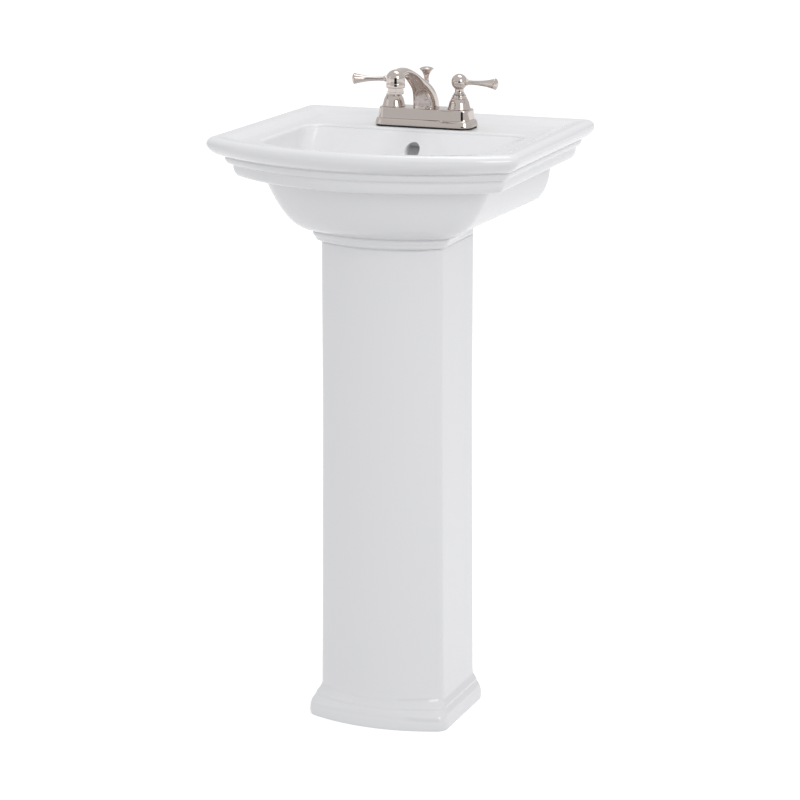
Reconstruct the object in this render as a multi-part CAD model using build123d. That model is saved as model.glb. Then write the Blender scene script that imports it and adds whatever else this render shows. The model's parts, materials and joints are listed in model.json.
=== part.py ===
from build123d import *
import math
import os

# A pedestal sink: a china basin on a china pedestal, a two-handle faucet on the basin's deck,
# a pop-up drain worked by a lift rod, and a trap inside the pedestal.
# Millimetres. +Z up, -Y towards the user, the wall is the plane y = wall_y,
# and the origin is on the floor at the middle of the footprint of the whole.

# ---------------------------------------------------------------- driving sizes: basin
basin_width = 464.0            # over the rolled rim, at the front corners
basin_taper = 7.0              # how much narrower the rim is at the wall
basin_depth = 440.0            # wall to the middle of the bowed front
front_bow = 73.0               # how far the middle of the front stands out from its corners
rim_height = 862.0             # floor to the top of the rim
basin_height = 153.0           # rim top to the joint with the pedestal
rim_corner_radius = 20.0
rim_crest_inset = 9.0          # outside of the rim to its highest line
ledge_drop = 8.5               # rim top to the flat ledge inside it
ledge_inset = 42.0             # outside of the rim to the flat ledge
bowl_inset = 60.0              # outside of the rim to the bowl's edge, at sides and front
bowl_from_wall = 131.0         # wall to the bowl's back edge
bowl_depth = 125.0             # ledge to the bowl's floor
bowl_floor_half = 45.0         # drain axis to the side of the bowl's floor
bowl_floor_back = 35.0         # drain axis to the back of the bowl's floor
bowl_wall = 12.0
deck_wall = 12.0
back_wall = 12.0
apron_height = 124.0           # rim top to the lower edge of the back
moulding_height = 59.0         # rim top to the bottom of the stepped moulding
moulding_back_inset = 68.5     # outside of the rim to the shell, at the wall below the moulding
apron_back_inset = 88.5        # the same at the apron's lower edge
rim_back_radius = 9.0          # the rim's corners at the wall, seen from above
collar_inset = 11.0
collar_height = 17.0
overflow_radius = 11.0
overflow_drop = 28.0           # ledge to the overflow's centre
wall_bolt_spacing = 200.0
wall_bolt_radius = 6.5
wall_bolt_drop = 62.0          # rim top to the wall bolts

# ---------------------------------------------------------------- driving sizes: pedestal
shaft_half_top = 92.0
shaft_half_bottom = 95.5
shaft_back_from_wall = 148.0
shaft_front_from_wall = 312.0
shaft_bow = 31.0
shaft_corner_radius = 14.0
pedestal_wall = 10.0
back_opening_half = 60.0
plinth_height = 47.0
plinth_spread = 12.5
lug_thickness = 12.0
lug_hole_spacing = 60.0
lug_hole_radius = 4.5

# ---------------------------------------------------------------- driving sizes: faucet
faucet_centres = 101.6         # 4 in between the two handles
faucet_from_wall = 98.0
cover_overhang = 24.4          # handle axis to the end of the cover
cover_depth = 52.0
cover_height = 25.0
cover_step = 9.5               # cover's foot to the step round it
cover_wall = 2.5
cover_corner_radius = 16.0
gasket_thickness = 2.5
deck_hole_radius = 16.0
shank_radius = 10.3            # half-inch straight pipe thread
shank_drop = 53.5              # ledge to the foot of the shank
inlet_thread = 30.0            # free thread for the supply nut, below a relief groove
bonnet_radius = 17.2
bonnet_height = 21.0
stem_radius = 4.0
stem_clearance = 0.06
hub_radius = 11.8
hub_rise = 39.5                # cover top to the hub's centre
lever_length = 61.5            # handle axis to the lever's tip
left_rest_angle = 20.0         # the left lever rests turned this far forward
right_rest_angle = 6.0
spout_reach = 124.0
spout_rise = 56.5              # cover top to the middle of the spout's round end
outlet_radius = 13.2
aerator_radius = 11.5
aerator_height = 10.0

# ---------------------------------------------------------------- driving sizes: drain and trap
drain_from_wall = 230.0
drain_hole_radius = 22.5
drain_tube_radius = 21.9
flange_radius = 29.0
throat_radius = 16.5
drain_length = 88.5            # bowl floor to the foot of the drain body
pivot_drop = 63.5              # bowl floor to the pivot ball
pivot_reach = 24.0             # drain axis to the pivot ball
ball_radius = 6.1
pivot_rod_radius = 2.4
lift_travel = 28.0
lift_rod_radius = 3.0
strap_offset = 6.0             # lift rod's axis to the strap
seal_height = 2.5
seat_gap = 0.3                 # left under the stopper's seal when it is shut
tube_radius = 15.9             # inch-and-a-quarter drain tube
tube_wall = 1.2
trap_bend = 40.0
tailpiece_length = 145.0
trap_drop = 85.0               # trap inlet to the start of the bend
outlet_below_inlet = 24.0
elbow_bend = 30.0
slip_gap = 0.2
free_gap = 0.4                 # between parts that turn past each other

# ---------------------------------------------------------------- places worked out from them
wall_y = basin_depth / 2
basin_back_width = basin_width - basin_taper
joint_height = rim_height - basin_height
ledge_z = rim_height - ledge_drop
floor_z = ledge_z - bowl_depth
moulding_z = rim_height - moulding_height
apron_z = rim_height - apron_height
collar_z = joint_height + collar_height
hub_underside_z = floor_z - 14.0
cover_length = faucet_centres + 2 * cover_overhang
faucet_y = wall_y - faucet_from_wall
deck_under_z = ledge_z - deck_wall
shank_foot_z = ledge_z - shank_drop
cover_z = ledge_z + gasket_thickness
cover_top_z = cover_z + cover_height
hub_z = cover_top_z + hub_rise
bonnet_top_z = cover_top_z + bonnet_height
bridge_z = cover_top_z - 17.5
bridge_top_z = cover_top_z - 4.5
drain_y = wall_y - drain_from_wall
pivot_y = drain_y + pivot_reach
pivot_z = floor_z - pivot_drop
strap_y = faucet_y + strap_offset
pivot_arm = strap_y - pivot_y
rest_tilt = math.degrees(math.atan(lift_travel / 2 / pivot_arm))
stopper_travel = pivot_reach * lift_travel / pivot_arm
seat_z = floor_z - 2.2
seal_z = seat_z + seat_gap + stopper_travel
outlet_y = faucet_y - spout_reach
overflow_z = ledge_z - overflow_drop
knob_z = cover_top_z + 36.5
clevis_z = deck_under_z - 62.0
outlet_z = cover_top_z + spout_rise - 12.5
trap_rise_y = drain_y + 2 * trap_bend
drain_foot_z = floor_z - drain_length
tailpiece_z = drain_foot_z + 10 - tailpiece_length
trap_inlet_height = tailpiece_z + 25
outlet_height = trap_inlet_height - outlet_below_inlet
trap_radius = tube_radius + slip_gap + 1.6
trap_bottom_z = trap_inlet_height - trap_drop - trap_bend
trap_outlet_z = outlet_height - elbow_bend - 8
sides = {"left": -1, "right": 1}


# ---------------------------------------------------------------- helpers
def tube(outer, inner, low, high, x=0.0, y=0.0):
    """Upright ring from z = low to z = high."""
    ring = Circle(outer) - Circle(inner) if inner > 0 else Circle(outer)
    return Pos(x, y, low) * extrude(ring, high - low)


def rod_y(radius, y0, y1, x=0.0, z=0.0):
    """Round bar along Y."""
    return Pos(x, y0, z) * Rot(-90, 0, 0) * extrude(Circle(radius), y1 - y0)


def rod_x(radius, x0, x1, y=0.0, z=0.0):
    """Round bar along X."""
    return Pos(x0, y, z) * Rot(0, 90, 0) * extrude(Circle(radius), x1 - x0)


def block(x0, x1, y0, y1, z0, z1):
    """Box between two corners."""
    centre = Pos((x0 + x1) / 2, (y0 + y1) / 2, (z0 + z1) / 2)
    return centre * Box(x1 - x0, y1 - y0, z1 - z0)


def bowed(z, half_front, half_back, y_back, y_front, bow, r_front, r_back=0.0):
    """Flat outline at height z: straight back and sides, front bowed out, corners rounded."""
    y_corner = y_front + bow
    line = Line((half_back, y_back), (-half_back, y_back))
    line += Line((-half_back, y_back), (-half_front, y_corner))
    line += ThreePointArc((-half_front, y_corner), (0, y_front), (half_front, y_corner))
    line += Line((half_front, y_corner), (half_back, y_back))
    face = make_face(line)
    face = fillet(face.vertices().sort_by(Axis.Y)[:2], r_front)
    if r_back > 0:
        face = fillet(face.vertices().sort_by(Axis.Y)[-2:], r_back)
    return Pos(0, 0, z) * face


def bulge(start, end, power, steps):
    """Profile points from start, where it is upright, to end, where it is level: a superellipse."""
    points = []
    for k in range(steps + 1):
        a = math.pi / 2 * k / steps
        u = 1 - math.cos(a) ** (2 / power)
        v = math.sin(a) ** (2 / power)
        points.append((start[0] + (end[0] - start[0]) * u, start[1] + (end[1] - start[1]) * v))
    return points


def mix(a, b, s):
    return a + (b - a) * s


def one(shape):
    """The single solid of a shape."""
    return max(shape.solids(), key=lambda s: s.volume)


def save(name, shape):
    shape.label = name
    export_step(shape, f"parts/{name}.step")


# ---------------------------------------------------------------- basin
def rim_profile():
    """(inset, drop) pairs from the crest, over the roll and down the two steps below it."""
    roll = bulge((0, 10.4), (rim_crest_inset, 0), 2.0, 3)[::-1]
    roll += bulge((0, 10.4), (21, 29), 1.45, 4)[1:]
    middle = bulge((20.5, 31), (28.5, 41), 1.7, 3)
    lower = bulge((29.5, 43), (38, moulding_height), 1.9, 4)
    return roll + middle + lower + [(bowl_inset, moulding_height + 2)]


def rim_section(inset, drop):
    back = wall_y - (0.6 * inset if drop < 10 else 0)
    front = -basin_depth / 2 + inset
    radius = max(rim_corner_radius - 0.35 * inset, 6)
    half_front = basin_width / 2 - inset
    half_back = basin_back_width / 2 - inset
    r_back = max(rim_back_radius - 0.2 * inset, 4)
    return bowed(rim_height - drop, half_front, half_back, back, front, front_bow, radius, r_back)


def recess_section(inset, drop):
    """The rim's hollow top, inset alike on all four sides."""
    half_front = basin_width / 2 - inset
    half_back = basin_back_width / 2 - inset
    front = -basin_depth / 2 + inset
    return bowed(rim_height - drop, half_front, half_back, wall_y - inset, front, front_bow, 12, 8)


def shell_half_back(z):
    """Half width of the apron at the wall."""
    u = min(max((moulding_z - z) / (moulding_z - apron_z), 0), 1)
    return basin_back_width / 2 - mix(moulding_back_inset, apron_back_inset, u ** 3)


def shell_section(z, back_from_wall=0.0, half_back=None):
    """The outside of the bowl, rounding in from below the moulding to the collar."""
    s = math.sqrt(min(max((z - collar_z) / (moulding_z - collar_z), 0), 1))
    collar_half = shaft_half_top + collar_inset + 1
    half_front = mix(collar_half, basin_width / 2 - bowl_inset - 2, s)
    y_front = wall_y - mix(shaft_front_from_wall + collar_inset + 2, basin_depth - bowl_inset + 4, s)
    bow = mix(shaft_bow + 3, front_bow - 11, s)
    half_back = shell_half_back(z) if half_back is None else half_back
    radius = mix(24, 80, s)
    return bowed(z, half_front, half_back, wall_y - back_from_wall, y_front, bow, radius)


def neck_section(down, back_share, width_share):
    """The hub behind the collar, shrinking from the apron's lower edge down to the collar."""
    back = shaft_back_from_wall - 6 - 37 * back_share
    half = mix(shaft_half_top + 1, shell_half_back(apron_z) - 12, width_share)
    return shell_section(mix(apron_z, collar_z, down), back, half)


def bowl_round(t):
    """How much of the bowl's width is left at depth t, from 1 at the edge to 0 at the floor."""
    return (1 - t ** 2.2) ** (1 / 2.2)


def bowl_back(t):
    """Distance of the bowl's sloping back from the wall at depth t."""
    slope = math.sin(math.pi / 2 * min(t / 0.68, 1))
    share = 0.85 * slope + 0.15 * (1 - bowl_round(t))
    return mix(bowl_from_wall, drain_from_wall - bowl_floor_back, share)


def bowl_section(t, grow=0.0, lift=0.0):
    s = bowl_round(t)
    half = mix(bowl_floor_half, basin_width / 2 - bowl_inset - 2, s) + grow
    y_front = wall_y - mix(drain_from_wall + 40, basin_depth - bowl_inset - 2, s) - grow
    bow = mix(15, front_bow - 13, s)
    z = ledge_z - t * bowl_depth + lift
    back = wall_y - bowl_back(t) + grow
    return bowed(z, half, half, back, y_front, bow, min(40 + 90 * t, 0.42 * half), mix(20, 30, s))


def bowl_back_offset(distance, depths):
    """Points (y, z) behind the bowl's back wall, at a distance from its inner face."""
    points = []
    for t in depths:
        dy = bowl_back(t + 0.005) - bowl_back(t - 0.005)
        dz = 0.01 * bowl_depth
        run = math.hypot(dy, dz)
        y = wall_y - bowl_back(t) + distance * dz / run
        z = ledge_z - t * bowl_depth - distance * dy / run
        points.append((y, z))
    return points


def prism_x(points, half):
    """A (y, z) outline carried across from x = -half to x = half."""
    face = make_face(Polyline(*[(0, y, z) for y, z in points], close=True))
    return extrude(face, half, dir=(1, 0, 0), both=True)


def under_deck_space():
    """The open space below the deck, behind the bowl: it takes the shanks and the lift rod."""
    edge = bowl_back_offset(bowl_wall, (0.06, 0.2, 0.35, 0.5, 0.65, 0.78, 0.88, 0.95))
    edge = [(edge[0][0], deck_under_z)] + [p for p in edge if p[1] < deck_under_z - 1]
    hub_edge = drain_y + flange_radius + 12
    low = joint_height - 10
    outline = edge + [(hub_edge, hub_underside_z), (hub_edge, low), (wall_y - back_wall, low)]
    outline += [(wall_y - back_wall, deck_under_z)]
    space = prism_x(outline, basin_width / 2)
    inner = shaft_half_top - pedestal_wall
    levels = [(deck_under_z + 5, shell_half_back(moulding_z) - bowl_wall)]
    for z in (moulding_z - 15, moulding_z - 40, moulding_z - 55, apron_z):
        levels.append((z, shell_half_back(z) - bowl_wall - 2))
    levels += [(collar_z, inner + 3), (hub_underside_z, inner), (low - 5, inner)]
    faces = [Pos(0, wall_y - 110, z) * Rectangle(2 * half, 260) for z, half in levels]
    return space & loft(faces, ruled=True)


def collar_pocket():
    """The space inside the collar, below the bowl's floor."""
    half = shaft_half_top - pedestal_wall
    front = wall_y - shaft_front_from_wall + pedestal_wall + 2
    face = bowed(joint_height - 1, half, half, drain_y + 60, front, shaft_bow, 10)
    return extrude(face, hub_underside_z - joint_height + 1, dir=(0, 0, 1))


def overflow_strip(near, far, half):
    """A strip that follows the bowl's back wall down to the drain."""
    depths = (0.1, 0.2, 0.35, 0.5, 0.65, 0.78, 0.88, 0.94)
    inner = bowl_back_offset(near, depths)
    outer = bowl_back_offset(far, depths)
    return prism_x(inner + outer[::-1], half)


def basin():
    rim = loft([rim_section(o, d) for o, d in rim_profile()], ruled=True)
    levels = [0, 0.12, 0.28, 0.45, 0.62, 0.8, 1]
    shell_levels = [mix(moulding_z, apron_z, t) for t in levels]
    top = Pos(0, 0, 8) * shell_section(moulding_z)
    shell = loft([top] + [shell_section(z) for z in shell_levels], ruled=True)
    neck_shares = [(0, 1, 1), (0.5, 0.54, 0.72), (0.85, 0.22, 0.4), (1, 0, 0)]
    neck = loft([neck_section(*shares) for shares in neck_shares], ruled=True)
    collar_levels = [(0, 0), (2.4, 8), (3.2, 9), (6.2, 13), (collar_inset, collar_height)]
    collar = loft([collar_section(o, d) for o, d in collar_levels], ruled=True)
    body = rim + shell + neck + collar
    crest = rim_crest_inset + 1.5
    hollow = [(crest, -2), (crest, 0.2), (23, 1.8), (32, 5.5), (ledge_inset, ledge_drop)]
    body -= loft([recess_section(o, d) for o, d in hollow], ruled=True)
    depths = (0.02, 0.12, 0.27, 0.42, 0.56, 0.69, 0.8, 0.885, 0.945, 0.98, 1)
    bowl = [bowl_section(0, 4, 0.5), bowl_section(0, 2.5, -0.6)] + [bowl_section(t) for t in depths]
    body -= loft(bowl, ruled=True)
    body -= under_deck_space()
    body -= collar_pocket()
    strip = overflow_strip(bowl_wall - 1, bowl_wall + 18, 20)
    body += strip - tube(60, 0, 600, hub_underside_z, 0, drain_y)
    body -= overflow_strip(bowl_wall - 3, bowl_wall + 11, 13)
    mouth_z = floor_z - 10
    body -= block(-9, 9, drain_y, drain_y + bowl_floor_half + 8, mouth_z, mouth_z + 7)
    over_y = wall_y - bowl_back(overflow_drop / bowl_depth)
    body -= rod_y(overflow_radius, over_y - 30, over_y + 24, 0, overflow_z)
    body -= tube(drain_hole_radius, 0, joint_height - 20, floor_z + 5, 0, drain_y)
    body -= tube(flange_radius + 0.5, 0, floor_z - 3.5, floor_z + 5, 0, drain_y)
    for x in (-faucet_centres / 2, 0, faucet_centres / 2):
        body -= tube(deck_hole_radius, 0, deck_under_z - 5, ledge_z + 5, x, faucet_y)
    for x in (-wall_bolt_spacing / 2, wall_bolt_spacing / 2):
        z = rim_height - wall_bolt_drop
        body -= rod_y(wall_bolt_radius, wall_y - back_wall - 5, wall_y + 5, x, z)
    return one(body)


def collar_section(inset, drop):
    """The bead that the bowl ends in, on top of the pedestal."""
    half_front = shaft_half_top + collar_inset + 1 - inset
    half_back = shaft_half_top + 1 - 0.1 * inset
    back = wall_y - shaft_back_from_wall
    front = wall_y - shaft_front_from_wall - collar_inset - 2 + inset
    return bowed(collar_z - drop, half_front, half_back, back, front, shaft_bow + 3, 24 - 0.8 * inset)


# ---------------------------------------------------------------- pedestal
def shaft_section(z, grow=0.0):
    s = min(max((z - plinth_height) / (joint_height - plinth_height), 0), 1)
    half = mix(shaft_half_bottom, shaft_half_top, min(1.6 * s, 1)) + grow
    front = wall_y - shaft_front_from_wall - grow
    back = wall_y - shaft_back_from_wall
    return bowed(z, half, half, back, front, shaft_bow, shaft_corner_radius + 0.2 * grow)


def plinth_section(z, share):
    """The foot's moulding: share runs from 0 at the shaft to 1 at its widest."""
    grow = plinth_spread * share
    half = shaft_half_bottom + grow
    front = wall_y - shaft_front_from_wall - grow
    back = wall_y - shaft_back_from_wall + 3 * share
    bow = mix(shaft_bow, shaft_bow - 8, share)
    return bowed(z, half, half, back, front, bow, shaft_corner_radius + 2 * share)


def pedestal():
    steps = [(0, 0.9), (3, 0.97), (9, 1), (16, 0.97), (22, 0.85), (26.5, 0.66), (29, 0.52)]
    steps += [(31, 0.5), (34, 0.42), (38, 0.22), (42, 0.08)]
    slim_z = mix(plinth_height, joint_height, 1 / 1.6)
    outer = [plinth_section(z, share) for z, share in steps]
    outer += [shaft_section(z) for z in (plinth_height, slim_z, joint_height)]
    outer = loft(outer, ruled=True)
    top = joint_height + 5
    inner = loft([shaft_section(z, -pedestal_wall) for z in (-5, plinth_height, slim_z, top)], ruled=True)
    inside = wall_y - shaft_back_from_wall - pedestal_wall
    inner = inner & block(-200, 200, -300, inside, -10, top + 5)
    body = outer - inner
    body -= block(-back_opening_half, back_opening_half, inside - 1, wall_y, -10, top + 5)
    half = shaft_half_bottom - pedestal_wall + 4
    lug = block(-half, half, inside - 45, inside + 1, 0, lug_thickness)
    body += lug
    for x in (-lug_hole_spacing / 2, lug_hole_spacing / 2):
        body -= tube(lug_hole_radius, 0, -5, lug_thickness + 5, x, inside - 24)
    return one(body)


# ---------------------------------------------------------------- faucet body
def rounded(z, length, depth, radius):
    return Pos(0, faucet_y, z) * RectangleRounded(length, depth, radius)


def cover_sections(shrink, low, high):
    """Outlines of the cover from foot to top, smaller by shrink all round."""
    foot = cover_z + cover_step
    sizes = [(low, 0), (foot - 1.2, 1.9), (foot, 2.3), (foot + 0.5, 4.4), (high - 1.2, 6.0), (high, 7.0)]
    result = []
    for z, inset in sizes:
        cut = inset + shrink
        radius = cover_corner_radius - cut * 0.8
        result.append(rounded(z, cover_length - 2 * cut, cover_depth - 2 * cut, radius))
    return result


def faucet_cover():
    body = loft(cover_sections(0, cover_z, cover_top_z), ruled=True)
    body -= loft(cover_sections(cover_wall, cover_z - 1, cover_top_z - cover_wall), ruled=True)
    for x in (-faucet_centres / 2, faucet_centres / 2):
        body -= tube(12.2, 0, cover_z, cover_top_z + 5, x, faucet_y)
    body -= Pos(0, faucet_y, cover_z) * extrude(Ellipse(9.3, 17.3), cover_height + 5)
    return one(body)


def faucet_gasket():
    face = RectangleRounded(cover_length - 3, cover_depth - 3, cover_corner_radius - 1.5)
    body = Pos(0, faucet_y, ledge_z) * extrude(face, gasket_thickness)
    for x in (-faucet_centres / 2, 0, faucet_centres / 2):
        body -= tube(deck_hole_radius - 4, 0, ledge_z - 1, cover_z + 1, x, faucet_y)
    return one(body)


def faucet_bridge():
    """Brass waterway that joins both valves to the spout."""
    half = faucet_centres / 2
    body = Pos(0, faucet_y, bridge_z) * extrude(Rectangle(2 * half, 33), bridge_top_z - bridge_z)
    for x in (-half, half):
        body += tube(15, 0, bridge_z, bridge_top_z, x, faucet_y)
    for x in (-half, half):
        body -= tube(shank_radius, 0, bridge_z - 5, bridge_top_z + 5, x, faucet_y)
    bore_z = (bridge_z + bridge_top_z) / 2
    body -= Pos(-half, faucet_y - 9, bore_z) * Rot(0, 90, 0) * extrude(Circle(3), 2 * half)
    body -= tube(4, 0, bore_z, bridge_top_z + 5, 0, faucet_y - 11)
    body -= tube(lift_rod_radius + free_gap, 0, bridge_z - 5, bridge_top_z + 5, 0, faucet_y)
    body -= tube(2.5, 0, bridge_z - 5, bridge_top_z + 5, 0, faucet_y + 12)
    return one(body)


def valve_body(x):
    """Brass valve body with the threaded shank that passes through the deck."""
    top = cover_top_z + 8.5
    groove_z = shank_foot_z + inlet_thread
    body = tube(shank_radius, 0, shank_foot_z, bridge_top_z + 0.5, x, faucet_y)
    body -= tube(shank_radius + 1, shank_radius - 0.8, groove_z, groove_z + 1.2, x, faucet_y)
    body += tube(12, 0, bridge_top_z, top, x, faucet_y)
    body -= tube(6, 0, shank_foot_z - 1, top + 1, x, faucet_y)
    body -= tube(8.5, 0, bridge_top_z - 8, top + 1, x, faucet_y)
    return one(body)


def cartridge(x):
    low = bridge_top_z - 8
    body = tube(8.5, 0, low, cover_top_z + 12.5, x, faucet_y)
    body -= tube(stem_radius + stem_clearance, 0, low + 5, cover_top_z + 20, x, faucet_y)
    body -= tube(2.5, 0, low - 1, low + 6, x, faucet_y)
    return one(body)


def stem(x):
    return tube(stem_radius, 0, bridge_top_z - 2.8, hub_z - 8, x, faucet_y)


def bonnet(x):
    """Bell-shaped cover over the valve, stepped where it narrows."""
    top = bonnet_top_z
    low = cover_top_z
    points = [(12.1, low), (bonnet_radius, low), (bonnet_radius, low + 1.2), (16.3, low + 2.6)]
    points += [(15.7, low + 5.5), (14.6, low + 9.5), (13, low + 13), (11.6, low + 15.5)]
    points += [(11, low + 16.6), (11, low + 17.8), (10.1, low + 18.2), (10.1, top)]
    points += [(stem_radius + 1.2, top), (stem_radius + 1.2, top - 2.5), (9, top - 2.5)]
    points += [(9, low + 9.5), (12.1, low + 9.5)]
    face = make_face(Polyline(*[(r, 0, z) for r, z in points], close=True))
    return Pos(x, faucet_y, 0) * revolve(face, Axis.Z)


def shank_washer(x):
    return tube(20.5, shank_radius + 0.3, deck_under_z - 1.5, deck_under_z, x, faucet_y)


def shank_nut(x):
    """Locknut below the deck, with two wings."""
    low = deck_under_z - 9.5
    body = tube(17, 0, low, deck_under_z - 1.5, x, faucet_y)
    body += block(x - 4, x + 4, faucet_y - 20.5, faucet_y + 20.5, low, low + 5)
    body -= tube(shank_radius, 0, low - 1, deck_under_z, x, faucet_y)
    return one(body)


# ---------------------------------------------------------------- handles
def lever_angle(side):
    """Direction of a lever seen from above, in degrees from +X."""
    return 180 + left_rest_angle if side < 0 else -right_rest_angle


def handle_hub(side):
    x = side * faucet_centres / 2
    low = bonnet_top_z + free_gap
    neck_top = hub_z - math.sqrt(hub_radius ** 2 - 6.8 ** 2)
    points = [(0, low), (8.4, low), (8.4, low + 1.6), (7.0, low + 3), (6.6, neck_top), (0, neck_top)]
    face = make_face(Polyline(*[(r, 0, z) for r, z in points], close=True))
    body = Pos(x, faucet_y, 0) * revolve(face, Axis.Z)
    body += Pos(x, faucet_y, hub_z) * Sphere(hub_radius)
    body -= tube(stem_radius, 0, low - 1, hub_z - 8, x, faucet_y)
    turn = Pos(x, faucet_y, hub_z) * Rot(0, 0, lever_angle(side))
    body -= turn * Pos(hub_radius - 7, 0, 0) * Rot(0, 90, 0) * extrude(Circle(2.6), 10)
    body -= turn * Pos(-hub_radius - 2, 0, -hub_radius + 4) * Rot(0, 90, 0) * extrude(Circle(1.5), 14.5)
    return one(body)


def lever(side):
    """Slim arm that flares to a domed end, screwed into the hub."""
    end = lever_length
    points = [(hub_radius - 7, 0), (hub_radius - 7, 2.6), (hub_radius - 0.2, 2.6), (hub_radius - 0.2, 4.6)]
    points += [(hub_radius + 1.6, 4.6), (hub_radius + 2.4, 3.2), (end - 34, 3.4), (end - 25, 4.1)]
    points += [(end - 17, 5.2), (end - 9, 6.9), (end - 5, 8.0), (end - 3.8, 8.2), (end - 2.6, 7.4)]
    points += [(end - 0.8, 4.6), (end, 0)]
    face = make_face(Polyline(*[(u, 0, r) for u, r in points], close=True))
    body = revolve(face, Axis.X)
    return Pos(side * faucet_centres / 2, faucet_y, hub_z) * Rot(0, 0, lever_angle(side)) * body


def set_screw(side):
    turn = Pos(side * faucet_centres / 2, faucet_y, hub_z) * Rot(0, 0, lever_angle(side))
    length = hub_radius - 5.5 - stem_radius
    body = extrude(Circle(1.5), length) - extrude(RegularPolygon(0.8, 6), 1.5)
    return turn * Pos(-stem_radius - length, 0, -hub_radius + 4) * Rot(0, 90, 0) * body


# ---------------------------------------------------------------- spout
def spout_path():
    """Points of the spout's centre line: (forward of the axis, above the cover)."""
    return [(0, 0), (3, 10), (10, 21), (23, 32.5), (43, 43.5), (68, 55.5), (95, 63), (118, 62)]


def spout():
    points = spout_path()
    halves = [(18.5, 19), (18, 17.5), (16.5, 14), (14, 10.5), (11.5, 7.8), (10, 6), (9, 6), (9, 6)]
    scale_f = spout_reach / 124.0
    scale_z = spout_rise / 56.5
    faces = []
    for k, (f, h) in enumerate(points):
        f0, h0 = points[max(k - 1, 0)]
        f1, h1 = points[min(k + 1, len(points) - 1)]
        slope = math.degrees(math.atan2(h1 - h0, f1 - f0)) if k else 90
        place = Pos(0, faucet_y - f * scale_f, cover_top_z + h * scale_z) * Rot(90 - slope, 0, 0)
        faces.append(place * Ellipse(*halves[k]))
    body = loft(faces)
    head_z = cover_top_z + spout_rise
    body += Pos(0, outlet_y, head_z) * Sphere(outlet_radius)
    body += tube(outlet_radius, 0, outlet_z, head_z, 0, outlet_y)
    body += Pos(0, faucet_y, bridge_top_z) * extrude(Ellipse(9, 17), cover_top_z - bridge_top_z + 1)
    body += tube(5.4, 0, cover_top_z + 24, knob_z - 2.5, 0, faucet_y)
    body -= tube(9.8, 0, outlet_z - 1, outlet_z + 6, 0, outlet_y)
    body -= tube(7, 0, outlet_z, head_z + 4, 0, outlet_y)
    body -= tube(lift_rod_radius + free_gap, 0, bridge_top_z - 1, cover_top_z + 80, 0, faucet_y)
    body -= tube(2.5, 0, bridge_top_z - 1, bridge_top_z + 12, 0, faucet_y + 12)
    way = [(11, -5.5), (11, 12), (16, 24.5), (23, 32), (43, 43), (68, 55), (98, 62), (124, 60.5)]
    corners = [(0, faucet_y - f * scale_f, cover_top_z + h * scale_z) for f, h in way]
    path = FilletPolyline(*corners, radius=6)
    body -= sweep(Plane(path @ 0, z_dir=path % 0) * Circle(3.5), path=path)
    return one(body)


def spout_screw():
    """Screw that holds the spout down, from below the bridge."""
    body = tube(2.5, 0, bridge_z, bridge_top_z + 10, 0, faucet_y + 12)
    return body + tube(4.5, 0, bridge_z - 2.5, bridge_z, 0, faucet_y + 12)


def aerator_housing():
    low = outlet_z - aerator_height + 1
    body = tube(aerator_radius, 0, low, outlet_z, 0, outlet_y) + tube(9.8, 0, outlet_z, outlet_z + 4.5, 0, outlet_y)
    body -= tube(8, 0, low - 1, outlet_z + 10, 0, outlet_y)
    body += tube(8, 6.8, low + 1, low + 2, 0, outlet_y)
    return one(body)


def aerator_screen():
    low = outlet_z - aerator_height + 3
    body = tube(8, 0, low, low + 4, 0, outlet_y)
    for k in range(-3, 4):
        body -= block(-9, 9, outlet_y + 2 * k - 0.35, outlet_y + 2 * k + 0.35, low - 1, low + 1.5)
    return one(body)


def aerator_washer():
    return tube(9.6, 7, outlet_z + 4.5, outlet_z + 6, 0, outlet_y)


# ---------------------------------------------------------------- lift rod and linkage
def lift_knob():
    """Trumpet-shaped knob with a small collar at its foot."""
    low = knob_z
    points = [(0, low), (4.2, low), (4.2, low + 1.6), (3.6, low + 2.6), (3.5, low + 5)]
    points += [(4.6, low + 10.5), (7.2, low + 16), (10.3, low + 19.5), (10.3, low + 20.8)]
    points += [(8, low + 22.2), (0, low + 23)]
    face = make_face(Polyline(*[(r, 0, z) for r, z in points], close=True))
    body = Pos(0, faucet_y, 0) * revolve(face, Axis.Z)
    return one(body - tube(lift_rod_radius - 0.6, 0, low - 1, low + 10, 0, faucet_y))


def lift_rod():
    body = tube(lift_rod_radius, 0, clevis_z - 2, knob_z, 0, faucet_y)
    return body + tube(lift_rod_radius - 0.6, 0, knob_z - 0.5, knob_z + 10, 0, faucet_y)


def lift_strap():
    """Flat strap with a row of holes, and a square eye that clamps the lift rod."""
    half = 4.5
    plate = block(-half, half, strap_y - 0.75, strap_y + 0.75, pivot_z - lift_travel / 2 - 24, clevis_z + 16)
    eye = block(-6, 6, faucet_y - 6.5, strap_y + 0.75, clevis_z, clevis_z + 16)
    eye -= block(-4.5, 4.5, faucet_y - 5, strap_y - 0.75, clevis_z + 1.5, clevis_z + 14.5)
    body = plate + eye
    body -= tube(lift_rod_radius, 0, clevis_z - 5, clevis_z + 20, 0, faucet_y)
    body -= rod_x(2, 2, 10, faucet_y, clevis_z + 8)
    hole_z = pivot_z - lift_travel / 2
    for k in range(-1, 6):
        body -= rod_y(3.2, strap_y - 3, strap_y + 3, 0, hole_z + 13 * k)
    return one(body)


def clevis_screw():
    """Thumbscrew that presses on the lift rod."""
    x = lift_rod_radius
    body = rod_x(2, x, x + 8, faucet_y, clevis_z + 8)
    return body + rod_x(5, x + 8, x + 11.5, faucet_y, clevis_z + 8)


def pivot_frame():
    """Place of the pivot ball, with Y along the rod at rest."""
    return Pos(0, pivot_y, pivot_z) * Rot(-rest_tilt, 0, 0)


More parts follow.
